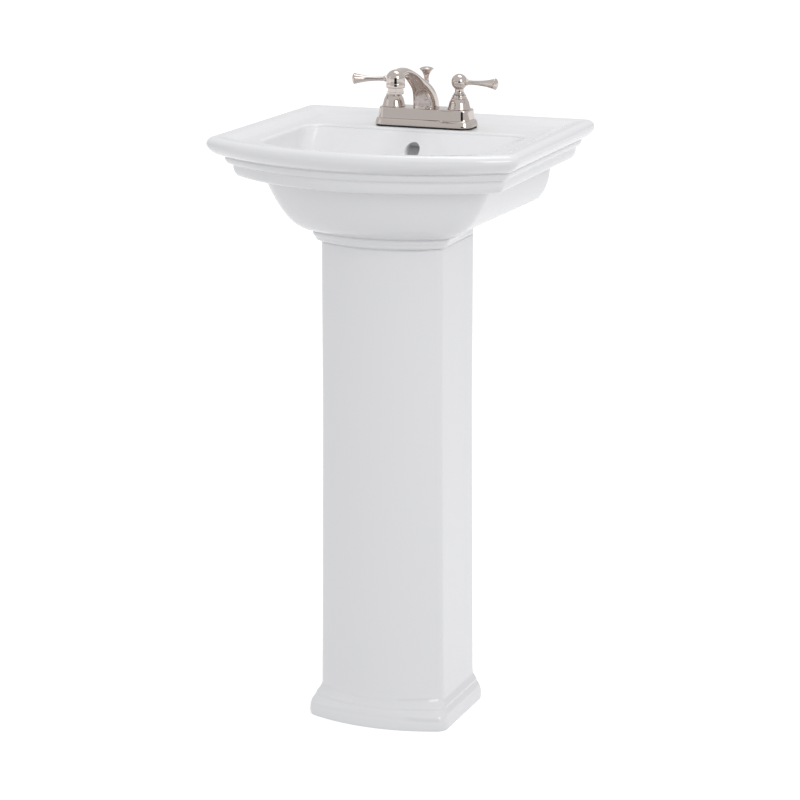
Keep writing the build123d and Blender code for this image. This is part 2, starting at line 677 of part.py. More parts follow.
def pivot_rod():
    inner = -pivot_reach - 5
    outer = pivot_arm / math.cos(math.radians(rest_tilt)) + 16
    body = rod_y(pivot_rod_radius, inner, outer) + Sphere(ball_radius)
    return pivot_frame() * body


def spring_clip():
    """Spring-steel clip on the pivot rod, with a leg on each side of the strap."""
    along = pivot_arm / math.cos(math.radians(rest_tilt))
    legs = block(-5.5, 8.5, along - 3.6, along - 2.8, -5.5, 5.5) + block(-5.5, 8.5, along + 2.8, along + 3.6, -5.5, 5.5)
    body = legs + block(7.7, 8.5, along - 3.6, along + 3.6, -5.5, 5.5)
    body -= rod_y(pivot_rod_radius, along - 10, along + 10)
    return pivot_frame() * one(body)


# ---------------------------------------------------------------- drain
def drain_flange():
    points = [(throat_radius, floor_z - 28), (19, floor_z - 28), (19, floor_z - 3.5)]
    points += [(flange_radius, floor_z - 3.5), (flange_radius, floor_z - 0.4), (flange_radius - 3, floor_z + 0.8)]
    points += [(20, floor_z + 0.8), (18.8, floor_z), (18.8, seat_z), (throat_radius, seat_z)]
    face = make_face(Polyline(*[(r, 0, z) for r, z in points], close=True))
    body = Pos(0, drain_y, 0) * revolve(face, Axis.Z)
    return one(body - block(-8, 8, drain_y, drain_y + 25, floor_z - 11, floor_z - 4.5))


def drain_body():
    low = floor_z - drain_length
    body = tube(drain_tube_radius, 0, low, floor_z - 4, 0, drain_y)
    body += rod_y(11, drain_y, pivot_y + 11, 0, pivot_z)
    body -= tube(19, 0, low + 14, floor_z, 0, drain_y)
    body -= tube(14.5, 0, low - 1, floor_z, 0, drain_y)
    body -= tube(tube_radius, 0, low - 1, low + 10, 0, drain_y)
    body -= rod_y(4.6, drain_y, pivot_y + 12, 0, pivot_z)
    body -= rod_y(ball_radius + 0.3, pivot_y - 7, pivot_y + 12, 0, pivot_z)
    body -= block(-8, 8, drain_y, drain_y + 25, floor_z - 11, floor_z - 4.5)
    return one(body)


def drain_gasket():
    return tube(30, drain_tube_radius, hub_underside_z - 6, hub_underside_z, 0, drain_y)


def drain_washer():
    return tube(31, drain_tube_radius, hub_underside_z - 7.5, hub_underside_z - 6, 0, drain_y)


def drain_locknut():
    low = hub_underside_z - 17.5
    nut = Pos(0, drain_y, low) * extrude(RegularPolygon(31, 6), 10)
    return one(nut - tube(drain_tube_radius, 0, low - 1, low + 11, 0, drain_y))


def pivot_seat():
    return rod_y(ball_radius + 0.2, pivot_y + 6.6, pivot_y + 11, 0, pivot_z) - rod_y(4.2, pivot_y, pivot_y + 12, 0, pivot_z)


def pivot_nut():
    y = pivot_y
    body = rod_y(14, y + 1.5, y + 14, 0, pivot_z) - rod_y(11, y, y + 11, 0, pivot_z)
    return one(body - rod_y(4.6, y, y + 15, 0, pivot_z))


def stopper_cap():
    low = seal_z + seal_height
    points = [(0, low), (17.4, low), (18.2, low + 1), (18.0, low + 2), (13, low + 3.6), (0, low + 4.6)]
    face = make_face(Polyline(*[(r, 0, z) for r, z in points], close=True))
    return Pos(0, drain_y, 0) * revolve(face, Axis.Z)


def stopper_seal():
    return tube(17.6, 12, seal_z, seal_z + seal_height, 0, drain_y)


def stopper_stem():
    """Stem with guide fins and an eye for the pivot rod."""
    top = seal_z + seal_height
    eye_z = pivot_z + pivot_reach * math.tan(math.radians(rest_tilt))
    body = tube(3.5, 0, eye_z, top, 0, drain_y)
    fin_low = floor_z - 24
    body += block(-15.6, 15.6, drain_y - 1, drain_y + 1, fin_low, seal_z - 0.3)
    body += block(-1, 1, drain_y - 15.6, drain_y + 15.6, fin_low, seal_z - 0.3)
    body += tube(11.8, 0, seal_z - 0.3, top, 0, drain_y)
    body += block(-6.5, 6.5, drain_y - 2.5, drain_y + 2.5, eye_z - 8, eye_z + 8)
    body -= rod_y(3.2, drain_y - 4, drain_y + 4, 0, eye_z)
    return one(body)


# ---------------------------------------------------------------- tailpiece and trap
def tailpiece():
    return tube(tube_radius, tube_radius - tube_wall, tailpiece_z, drain_foot_z + 10, 0, drain_y)


def bent_tube(corners, radii, outer, inner):
    path = FilletPolyline(*corners, radius=radii)
    start = Plane(path @ 0, z_dir=path % 0)
    ring = Circle(outer) - Circle(inner)
    return sweep(start * ring, path=path)


def trap_bend_tube():
    inlet = (0, drain_y, trap_inlet_height)
    first = (0, drain_y, trap_bottom_z)
    second = (0, trap_rise_y, trap_bottom_z)
    outlet = (0, trap_rise_y, trap_outlet_z)
    return bent_tube([inlet, first, second, outlet], trap_bend - 0.01, trap_radius, tube_radius + slip_gap)


def trap_arm():
    start = (0, trap_rise_y, trap_outlet_z - 20)
    corner = (0, trap_rise_y, outlet_height)
    end = (0, wall_y, outlet_height)
    return bent_tube([start, corner, end], elbow_bend, tube_radius, tube_radius - tube_wall)


def slip_nut(y, z):
    """Nut that squeezes the slip washer onto the tube, around the trap's end at height z."""
    body = Pos(0, y, z - 16) * extrude(RegularPolygon(25, 8), 22)
    body -= tube(trap_radius, 0, z - 17, z, 0, y)
    body -= tube(19.8, 0, z, z + 3, 0, y)
    return one(body - tube(tube_radius + 0.3, 0, z, z + 10, 0, y))


def slip_washer(y, z):
    return tube(19.8, tube_radius, z, z + 3, 0, y)


# ---------------------------------------------------------------- build
def build():
    os.makedirs("parts", exist_ok=True)
    save("basin", basin())
    save("pedestal", pedestal())
    save("faucet_cover", faucet_cover())
    save("faucet_gasket", faucet_gasket())
    save("faucet_bridge", faucet_bridge())
    save("spout", spout())
    save("spout_screw", spout_screw())
    save("aerator_housing", aerator_housing())
    save("aerator_screen", aerator_screen())
    save("aerator_washer", aerator_washer())
    for name, side in sides.items():
        x = side * faucet_centres / 2
        save(f"{name}_valve_body", valve_body(x))
        save(f"{name}_cartridge", cartridge(x))
        save(f"{name}_valve_stem", stem(x))
        save(f"{name}_bonnet", bonnet(x))
        save(f"{name}_shank_washer", shank_washer(x))
        save(f"{name}_shank_nut", shank_nut(x))
        save(f"{name}_handle_hub", handle_hub(side))
        save(f"{name}_lever", lever(side))
        save(f"{name}_set_screw", set_screw(side))
    save("lift_knob", lift_knob())
    save("lift_rod", lift_rod())
    save("lift_strap", lift_strap())
    save("clevis_screw", clevis_screw())
    save("pivot_rod", pivot_rod())
    save("spring_clip", spring_clip())
    save("pivot_seat", pivot_seat())
    save("pivot_nut", pivot_nut())
    save("drain_flange", drain_flange())
    save("drain_body", drain_body())
    save("drain_gasket", drain_gasket())
    save("drain_washer", drain_washer())
    save("drain_locknut", drain_locknut())
    save("stopper_cap", stopper_cap())
    save("stopper_seal", stopper_seal())
    save("stopper_stem", stopper_stem())
    save("tailpiece", tailpiece())
    save("trap_bend_tube", trap_bend_tube())
    save("trap_arm", trap_arm())
    ends = {"inlet": (drain_y, trap_inlet_height), "outlet": (trap_rise_y, trap_outlet_z)}
    for name, (y, z) in ends.items():
        save(f"trap_{name}_nut", slip_nut(y, z))
        save(f"trap_{name}_washer", slip_washer(y, z))


build()
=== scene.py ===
import json
import math

import bpy
import numpy as np
from bpy.props import FloatProperty, FloatVectorProperty, PointerProperty
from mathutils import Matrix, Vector


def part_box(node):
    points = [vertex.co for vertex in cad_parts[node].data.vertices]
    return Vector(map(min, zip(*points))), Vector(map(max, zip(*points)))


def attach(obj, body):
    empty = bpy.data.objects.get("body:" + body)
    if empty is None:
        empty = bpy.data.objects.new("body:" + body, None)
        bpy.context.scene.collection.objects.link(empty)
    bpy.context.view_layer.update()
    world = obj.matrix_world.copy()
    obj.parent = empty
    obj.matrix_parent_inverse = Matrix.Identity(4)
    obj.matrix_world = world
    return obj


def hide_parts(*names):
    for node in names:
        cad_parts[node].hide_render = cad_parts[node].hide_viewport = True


bl_info = {
    "name": "Pedestal sink",
    "version": (1, 0, 0),
    "blender": (4, 5, 0),
    "location": "View3D > Sidebar > Sink",
    "description": "Builds a china pedestal sink with a two-handle faucet around its CAD frame",
    "category": "Object",
}

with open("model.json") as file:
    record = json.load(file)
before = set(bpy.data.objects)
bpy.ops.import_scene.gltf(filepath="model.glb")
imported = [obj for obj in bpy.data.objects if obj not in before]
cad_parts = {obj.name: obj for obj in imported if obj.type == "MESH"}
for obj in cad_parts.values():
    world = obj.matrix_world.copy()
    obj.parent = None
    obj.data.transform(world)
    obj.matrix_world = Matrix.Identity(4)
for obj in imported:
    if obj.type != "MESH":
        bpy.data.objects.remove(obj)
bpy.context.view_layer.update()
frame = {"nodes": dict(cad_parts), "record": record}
NODES = frame["nodes"]
MM = 0.001


def node_box(name):
    """The low and high corners of a CAD node's box, in millimetres."""
    return [np.array(corner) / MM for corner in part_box(name)]


# Shapes are worked out in millimetres. +Z is up, -Y is towards the user, the wall is the plane y = WALL.
BASIN_LOW, BASIN_HIGH = node_box("basin")
COVER_LOW, COVER_HIGH = node_box("faucet_cover")
FLANGE_LOW, FLANGE_HIGH = node_box("drain_flange")
AERATOR_LOW, AERATOR_HIGH = node_box("aerator_housing")
PEDESTAL_HIGH = node_box("pedestal")[1]
CAP_LOW = node_box("stopper_cap")[0]
KNOB_LOW = node_box("lift_knob")[0]

# The china's levels, from the rim down to the joint between basin and pedestal
WALL = BASIN_HIGH[1]
RIM = BASIN_HIGH[2]
LEDGE = RIM - 8.5
DECK_UNDER = LEDGE - 12.0
MOULDING = RIM - 59.0
APRON = RIM - 124.0
BOWL_DEPTH = 125.0
FLOOR = LEDGE - BOWL_DEPTH
HUB_UNDERSIDE = FLOOR - 14.0
JOINT = PEDESTAL_HIGH[2]
COLLAR = JOINT + 17.0

# The china's plan: half widths, reaches from the wall to the front, and bows of the front
BACK_TAPER = 3.5
BOWL_INSET = 60.0
BOWL_FROM_WALL = 131.0
COLLAR_HALF, COLLAR_REACH, COLLAR_BOW = 104.0, 325.0, 34.0
SHAFT_HALF, SHAFT_REACH, SHAFT_BOW = 95.5, 312.0, 31.0
PLINTH_STEP = 12.5
PEDESTAL_GAP = 148.0
BASIN_WALL, PEDESTAL_WALL = 12.0, 10.0
OVERFLOW_DROP, OVERFLOW_RADIUS = 28.0, 11.0
DRAIN_Y = (FLANGE_LOW[1] + FLANGE_HIGH[1]) / 2
DRAIN_FROM_WALL = WALL - DRAIN_Y

# The faucet
FAUCET_Y = (COVER_LOW[1] + COVER_HIGH[1]) / 2
COVER_TOP = COVER_HIGH[2]
HANDLE_X = 50.8
BONNET_TOP = COVER_TOP + 21.0
HUB = COVER_TOP + 39.5
HUB_RADIUS = 11.8
SIDES = {"left": -1.0, "right": 1.0}
LEVER_TURN = {"left": 200.0, "right": -6.0}
OUTLET_Y = (AERATOR_LOW[1] + AERATOR_HIGH[1]) / 2
OUTLET_Z = COVER_TOP + 44.0


# ---- colours and nodes
def linear(hex_colour):
    """An sRGB hex value as linear red, green and blue, with the standard curve for each."""
    parts = [int(hex_colour[i : i + 2], 16) / 255 for i in (1, 3, 5)]
    return [v / 12.92 if v <= 0.04045 else ((v + 0.055) / 1.055) ** 2.4 for v in parts]


def add_node(tree, kind, settings=None, links=()):
    """Adds a node, sets its sockets and its properties by name, and joins (node, output, socket) links to it."""
    node = tree.nodes.new(kind)
    for key, value in (settings or {}).items():
        if isinstance(key, str) and hasattr(node, key) and key not in node.inputs:
            setattr(node, key, value)
        else:
            node.inputs[key].default_value = value
    for source, output, socket in links:
        tree.links.new(source.outputs[output], node.inputs[socket])
    return node


def new_material(name, colour, metallic, roughness, more=None):
    """A material with one Principled shader whose even values stand on its own sockets."""
    material = bpy.data.materials.new(name)
    material.use_nodes = True
    tree = material.node_tree
    shader = tree.nodes["Principled BSDF"]
    shader.inputs["Base Color"].default_value = (*colour, 1)
    shader.inputs["Metallic"].default_value = metallic
    shader.inputs["Roughness"].default_value = roughness
    for socket, value in (more or {}).items():
        shader.inputs[socket].default_value = value
    material.diffuse_color = (*colour, 1)
    return material, tree, shader


def add_grain(tree, shader, size_mm, detail, strength, depth_mm):
    """Raises the surface by noise whose features are size_mm across on Object coordinates, which are metres.
    Its height is depth_mm, and strength is the share of it that shows."""
    place_on = add_node(tree, "ShaderNodeTexCoord")
    noise = add_node(tree, "ShaderNodeTexNoise", {"Scale": 1 / (size_mm * MM), "Detail": detail},
                     [(place_on, "Object", "Vector")])
    bump = add_node(tree, "ShaderNodeBump", {"Strength": strength, "Distance": depth_mm * MM},
                    [(noise, "Fac", "Height")])
    tree.links.new(bump.outputs["Normal"], shader.inputs["Normal"])


def grained(name, hex_colour, metallic, roughness, **grain):
    """A material of one even colour with the grain that add_grain gives."""
    material, tree, shader = new_material(name, linear(hex_colour), metallic, roughness)
    add_grain(tree, shader, **grain)
    return material


def glazed_china(settings):
    """Vitreous china, slip-cast and fired with a clear glaze over white: a deep even gloss, very slightly
    wavy where the glaze flowed, so long reflections bend a little."""
    material, tree, shader = new_material(
        "Vitreous china, glazed", settings.glaze_colour, 0.0, settings.glaze_roughness,
        {"IOR": 1.52, "Coat Weight": 0.35, "Coat Roughness": 0.03, "Coat IOR": 1.5})
    add_grain(tree, shader, 55.0, 1.0, 0.35, settings.glaze_ripple / MM)
    return material


def polished_nickel(settings):
    """Nickel plate over buffed brass: a warm grey mirror, with a faint haze of buffing marks."""
    haze = settings.nickel_roughness
    material, tree, shader = new_material("Nickel plate, polished", settings.nickel_colour, 1.0, haze)
    place_on = add_node(tree, "ShaderNodeTexCoord")
    marks = add_node(tree, "ShaderNodeTexNoise", {"Scale": 1 / (9.0 * MM), "Detail": 3.0, "Roughness": 0.6},
                     [(place_on, "Object", "Vector")])
    spread = add_node(tree, "ShaderNodeMapRange",
                      {"From Min": 0.3, "From Max": 0.7, "To Min": 0.65 * haze, "To Max": 1.4 * haze},
                      [(marks, "Fac", "Value")])
    tree.links.new(spread.outputs["Result"], shader.inputs["Roughness"])
    return material


def chrome_tube():
    """Chromium plate on drawn brass tube: a cold bright mirror with a trace of the drawing lines."""
    return grained("Chromium plate, bright", "#D5D8DB", 1.0, 0.07,
                   size_mm=14.0, detail=2.0, strength=0.15, depth_mm=0.05)


def cast_brass():
    """Leaded brass, cast and part turned: yellow and satin, with a sandy skin."""
    return grained("Brass, cast and turned", "#B8914E", 1.0, 0.36,
                   size_mm=0.9, detail=3.0, strength=0.35, depth_mm=0.06)


def zinc_steel():
    """Mild steel, zinc plated: a cool grey satin, a little cloudy from the plating bath."""
    return grained("Steel, zinc plated", "#B4B6B8", 1.0, 0.34,
                   size_mm=6.0, detail=3.0, strength=0.2, depth_mm=0.05)


def black_rubber():
    """Nitrile rubber, moulded: dead matt black."""
    return grained("Nitrile rubber, moulded", "#1B1B1C", 0.0, 0.7,
                   size_mm=1.0, detail=2.0, strength=0.3, depth_mm=0.04)


def white_plastic():
    """Polypropylene, injection moulded: off-white, waxy, with a fine moulded skin."""
    return grained("Polypropylene, moulded", "#E6E4DC", 0.0, 0.42,
                   size_mm=2.5, detail=2.0, strength=0.2, depth_mm=0.04)


# ---- meshes
def make_piece(name, points, faces, material, crease=32.0):
    """A mesh from points in millimetres. Faces are turned outwards by the sign of the volume they enclose,
    which is the sum over fan triangles of a . (b x c) / 6, and edges sharper than crease degrees stay crisp."""
    points = np.asarray(points, float) * MM
    volume = 0.0
    for group in faces:
        corners = points[group]
        for k in range(1, group.shape[1] - 1):
            cross = np.cross(corners[:, k], corners[:, k + 1])
            volume += np.einsum("ij,ij->", corners[:, 0], cross)
    lists = []
    for group in faces:
        lists += (group if volume > 0 else group[:, ::-1]).tolist()
    mesh = bpy.data.meshes.new(name)
    mesh.from_pydata(points.tolist(), [], lists)
    mesh.validate()
    obj = bpy.data.objects.new(name, mesh)
    bpy.context.scene.collection.objects.link(obj)
    shade(obj, crease)
    if material is not None:
        mesh.materials.append(material)
    return obj


def shade(obj, crease):
    """Smooth faces, with edges sharper than crease degrees kept crisp."""
    obj.data.shade_smooth()
    obj.data.set_sharp_from_angle(angle=math.radians(crease))


def skin(rings, wrap=False, poles=(None, None)):
    """Points and faces of a surface through closed rings, an array levels x points x 3. Neighbouring rings
    are joined by quads. With wrap the last ring joins the first; otherwise each end closes on a pole."""
    levels, count = rings.shape[:2]
    points = rings.reshape(-1, 3)
    here = np.arange(count)
    after = np.roll(here, -1)
    level = np.arange(levels if wrap else levels - 1)[:, None] * count
    above = (level + count) % (levels * count)
    quads = np.stack([level + here, level + after, above + after, above + here], axis=-1)
    faces = [quads.reshape(-1, 4)]
    if not wrap:
        ends = [rings[k].mean(0) if pole is None else np.array(pole) for k, pole in zip((0, -1), poles)]
        first, last = levels * count, levels * count + 1
        low, top = here, here + (levels - 1) * count
        faces.append(np.stack([np.full(count, first), np.roll(low, -1), low], axis=-1))
        faces.append(np.stack([np.full(count, last), top, np.roll(top, -1)], axis=-1))
        points = np.vstack([points, *ends])
    return points, faces


def curve(points, per_span=8):
    """A smooth curve through points: on each span the cubic that leaves and arrives along the line that
    joins the neighbours on either side, with the spans' own lengths as weights."""
    p = np.asarray(points, float)
    gap = np.sqrt(np.linalg.norm(np.diff(p, axis=0), axis=1))
    first = p[0] - (p[1] - p[0])
    last = p[-1] + (p[-1] - p[-2])
    p = np.vstack([first, p, last])
    gap = np.concatenate([gap[:1], gap, gap[-1:]])[:, None]
    slope = (p[1:-1] - p[:-2]) / gap[:-1] * gap[1:] / (gap[:-1] + gap[1:])
    slope = slope + (p[2:] - p[1:-1]) / gap[1:] * gap[:-1] / (gap[:-1] + gap[1:])
    u = np.linspace(0, 1, per_span, endpoint=False)[None, :, None]
    a, b = p[1:-2][:, None], p[2:-1][:, None]
    span = gap[1:-1][:, None]
    ma, mb = slope[:-1][:, None] * span, slope[1:][:, None] * span
    line = (2 * u**3 - 3 * u**2 + 1) * a + (u**3 - 2 * u**2 + u) * ma
    line = line + (3 * u**2 - 2 * u**3) * b + (u**3 - u**2) * mb
    return np.vstack([line.reshape(-1, p.shape[1]), p[-2]])


def chain(*parts):
    """Curves end to end, each part after the first going on from where the last one ended. A part that has
    three or more points with that one is smoothed, and one with two stays straight."""
    lines, last = [], []
    for part in parts:
        part = [*last, *part]
        lines.append(curve(part) if len(part) > 2 else np.asarray(part, float))
        last = part[-1:]
    rows = np.vstack(lines)
    keep = np.concatenate([[True], np.linalg.norm(np.diff(rows, axis=0), axis=1) > 1e-6])
    return rows[keep]


def round_rings(profile, x, y, count=96):
    """Circles about the upright line through x, y, one for each (radius, height) of the profile."""
    turn = np.linspace(0, 2 * math.pi, count, endpoint=False)[None, :]
    radius, height = profile[:, :1], profile[:, 1:]
    return np.stack([x + radius * np.cos(turn), y + radius * np.sin(turn), height + 0 * turn], axis=-1)


def turned_solid(name, profile, x, y, material, count=96, crease=32.0):
    """A lathe shape: a profile of (radius, height) whose first and last points lie on the axis."""
    profile = np.asarray(profile, float)
    ends = [(x, y, profile[0][1]), (x, y, profile[-1][1])]
    points, faces = skin(round_rings(profile[1:-1], x, y, count), poles=ends)
    return make_piece(name, points, faces, material, crease)


def turned_ring(name, profile, x, y, material, count=96, crease=32.0):
    """A lathe shape with a hole: a closed profile of (radius, height) that stays off the axis."""
    profile = np.asarray(profile, float)
    points, faces = skin(round_rings(profile, x, y, count), wrap=True)
    return make_piece(name, points, faces, material, crease)


def cut(piece, tool, operation="DIFFERENCE"):
    """Takes a closed tool out of a closed piece, or adds it, and drops the tool."""
    modifier = piece.modifiers.new(operation, "BOOLEAN")
    modifier.operation = operation
    modifier.solver = "MANIFOLD"
    modifier.object = tool
    depsgraph = bpy.context.evaluated_depsgraph_get()
    before = len(piece.data.polygons)
    mesh = bpy.data.meshes.new_from_object(piece.evaluated_get(depsgraph))
    piece.modifiers.clear()
    old = piece.data
    mesh.name = old.name
    piece.data = mesh
    bpy.data.meshes.remove(old)
    bpy.data.objects.remove(tool)
    if len(mesh.polygons) == 0 or len(mesh.polygons) == before:
        raise RuntimeError(f"{piece.name}: the {operation.lower()} changed nothing")
    return piece


def drum(radius, low, high, x, y, count=64):
    """A plain upright cylinder, used as a tool."""
    profile = [(0, low), (radius, low), (radius, high), (0, high)]
    return turned_solid("tool", profile, x, y, None, count)


def bar_y(radius, start, end, x, z, count=48):
    """A plain cylinder along Y, used as a tool."""
    turn = np.linspace(0, 2 * math.pi, count, endpoint=False)
    ring = np.stack([x + radius * np.cos(turn), 0 * turn, z + radius * np.sin(turn)], axis=-1)
    rings = np.stack([ring + [0, start, 0], ring + [0, end, 0]])
    return make_piece("tool", *skin(rings), None)


def carried(outline, half):
    """A closed (y, z) outline carried across from x = -half to x = half, as a tool."""
    outline = np.asarray(outline, float)
    ring = np.column_stack([np.zeros(len(outline)), outline])
    rings = np.stack([ring + [-half, 0, 0], ring + [half, 0, 0]])
    sides = skin(rings)[1][0]
    caps = [np.arange(len(outline))[None, ::-1], np.arange(len(outline), 2 * len(outline))[None, :]]
    return make_piece("tool", rings.reshape(-1, 3), [sides, *caps], None)


def box_tool(low, high):
    """A plain box between two corners, as a tool."""
    (x0, y0, z0), (x1, y1, z1) = low, high
    ring = np.array([(x0, y0, z0), (x1, y0, z0), (x1, y1, z0), (x0, y1, z0)], float)
    return make_piece("tool", *skin(np.stack([ring, ring + [0, 0, z1 - z0]])), None)


# ---- outlines seen from above
def bowed(levels, counts=(9, 8, 20, 16, 56)):
    """Closed outlines, one for each row (height, half width at the front corners, half width at the back,
    y of the back, y of the front's middle, bow, front corner radius, back corner radius).
    The front is an arc whose radius is (half^2 + bow^2) / 2 bow. Each corner arc touches both its
    neighbours: its centre lies a radius inside the side line, and a radius inside the arc or the back."""
    rows = np.asarray(levels, float)
    z, half, half_back, y_back, y_front, bow, r_front, r_back = (column[:, None] for column in rows.T)
    big = (half**2 + bow**2) / (2 * bow)
    centre_y = y_front + big
    corner_y = y_front + bow
    length = np.hypot(half_back - half, y_back - corner_y)
    dx, dy = (half_back - half) / length, (y_back - corner_y) / length
    nx, ny = -dy, dx
    ax, ay = half + r_front * nx, corner_y + r_front * ny - centre_y
    along = ax * dx + ay * dy
    reach = -along - np.sqrt(along**2 - ax**2 - ay**2 + (big - r_front) ** 2)
    kx, ky = ax + reach * dx, ay + reach * dy + centre_y
    side_x, side_y = half + reach * dx, corner_y + reach * dy
    start = np.arctan2(-ny, -nx)
    end = np.arctan2(ky - centre_y, kx)
    back_reach = (y_back - r_back - corner_y - r_back * ny) / dy
    bx, by = half + back_reach * dx + r_back * nx, y_back - r_back
    fine = [np.linspace(0, 1, n, endpoint=False)[None, :] for n in counts[:4]]
    fine.append(np.linspace(0, 1, counts[4])[None, :])
    xs = [bx * fine[0]]
    ys = [y_back + 0 * fine[0]]
    angle = math.pi / 2 + (start - math.pi / 2) * fine[1]
    xs.append(bx + r_back * np.cos(angle))
    ys.append(by + r_back * np.sin(angle))
    from_x, from_y = bx - r_back * nx, by - r_back * ny
    xs.append(from_x + (side_x - from_x) * fine[2])
    ys.append(from_y + (side_y - from_y) * fine[2])
    angle = start + (end - start) * fine[3]
    xs.append(kx + r_front * np.cos(angle))
    ys.append(ky + r_front * np.sin(angle))
    angle = end + (-math.pi / 2 - end) * fine[4]
    xs.append(big * np.cos(angle))
    ys.append(centre_y + big * np.sin(angle))
    x, y = np.hstack(xs), np.hstack(ys)
    x[:, 0] = x[:, -1] = 0
    x = np.hstack([x, -x[:, -2:0:-1]])
    y = np.hstack([y, y[:, -2:0:-1]])
    return np.stack([x, y, z + 0 * x], axis=-1)


def rows(*columns):
    """Columns of numbers side by side as one array, single numbers repeated."""
    return np.column_stack(np.broadcast_arrays(*[np.asarray(c, float) for c in columns]))


def mix(a, b, s):
    """From a to b in a straight line as s goes from 0 to 1."""
    return a + (b - a) * s


def bulge(start, end, power, steps):
    """Profile from start, where it is upright, to end, where it is level: a superellipse,
    (1 - cos(a)^(2/power), sin(a)^(2/power)) as a runs over a quarter turn."""
    a = np.linspace(0, math.pi / 2, steps)
    u = 1 - np.cos(a) ** (2 / power)
    v = np.sin(a) ** (2 / power)
    return np.column_stack([mix(start[0], end[0], u), mix(start[1], end[1], v)])


# ---- basin
def rim_rows(sizes, profile):
    """The outside of the rim for each (inset, drop). Below the roll its back stands flat against the wall."""
    inset, drop = profile[:, 0], profile[:, 1]
    half = sizes.basin_width / MM / 2 - inset
    back = WALL - np.where(drop < 10.4, 0.6 * inset, 0)
    front = -sizes.basin_depth / MM / 2 + inset
    radius = np.maximum(20 - 0.35 * inset, 6)
    bow = sizes.front_bow / MM
    r_back = np.maximum(9 - 0.2 * inset, 4)
    return rows(RIM - drop, half, half - BACK_TAPER, back, front, bow, radius, r_back)


def recess_rows(sizes, profile):
    """The hollow inside the rim for each (inset, drop), inset alike on all four sides."""
    inset, drop = profile[:, 0], profile[:, 1]
    half = sizes.basin_width / MM / 2 - inset
    front = -sizes.basin_depth / MM / 2 + inset
    bow = sizes.front_bow / MM
    return rows(RIM - drop, half, half - BACK_TAPER, WALL - inset, front, bow, 12, 8)


def bowl_round(t):
    """How much of the bowl's width is left at depth t, from 1 at the edge to 0 at the floor."""
    return (1 - t**2.2) ** (1 / 2.2)


def bowl_back(t):
    """Distance of the bowl's back from the wall at depth t: it slopes in like a sine that is level from
    t = 0.68 on, and rounds into the floor."""
    slope = np.sin(math.pi / 2 * np.minimum(t / 0.68, 1))
    return mix(BOWL_FROM_WALL, DRAIN_FROM_WALL - 35, 0.85 * slope + 0.15 * (1 - bowl_round(t)))


def bowl_rows(sizes, t, grow, lift):
    """The inside of the bowl at depths t, wider by grow and higher by lift."""
    s = bowl_round(t)
    half = mix(45, sizes.basin_width / MM / 2 - BOWL_INSET - 2, s) + grow
    front = WALL - mix(DRAIN_FROM_WALL + 40, sizes.basin_depth / MM - BOWL_INSET - 2, s) - grow
    bow = mix(15, sizes.front_bow / MM - 13, s)
    z = LEDGE - t * BOWL_DEPTH + lift
    back = WALL - bowl_back(t) + grow
    corner = np.minimum(40 + 90 * t, 0.42 * half)
    return rows(z, half, half, back, front, bow, corner, mix(20, 30, s))


def shell_half_back(z):
    """Half width of the shell at the wall, narrowing towards the apron's lower edge."""
    u = np.clip((MOULDING - z) / (MOULDING - APRON), 0, 1)
    return BASIN_HIGH[0] - BACK_TAPER - mix(68.5, 88.5, u**3)


def shell_rows(sizes, z, back_from_wall, half_back):
    """The outside of the bowl: its width grows with the square root of the height above the collar."""
    s = np.sqrt(np.clip((z - COLLAR) / (MOULDING - COLLAR), 0, 1))
    half = mix(COLLAR_HALF, sizes.basin_width / MM / 2 - BOWL_INSET - 2, s)
    front = WALL - mix(COLLAR_REACH, sizes.basin_depth / MM - BOWL_INSET + 4, s)
    bow = mix(COLLAR_BOW, sizes.front_bow / MM - 11, s)
    return rows(z, half, half_back, WALL - back_from_wall, front, bow, mix(24, 66, s), 4)


def collar_rows(profile):
    """The double bead between bowl and pedestal, for each (inset, drop)."""
    inset, drop = profile[:, 0], profile[:, 1]
    half, half_back, corner = COLLAR_HALF - inset, 93 - 0.1 * inset, 24 - 0.8 * inset
    back, front = WALL - PEDESTAL_GAP, WALL - COLLAR_REACH + inset
    return rows(COLLAR - drop, half, half_back, back, front, COLLAR_BOW, corner, 4)


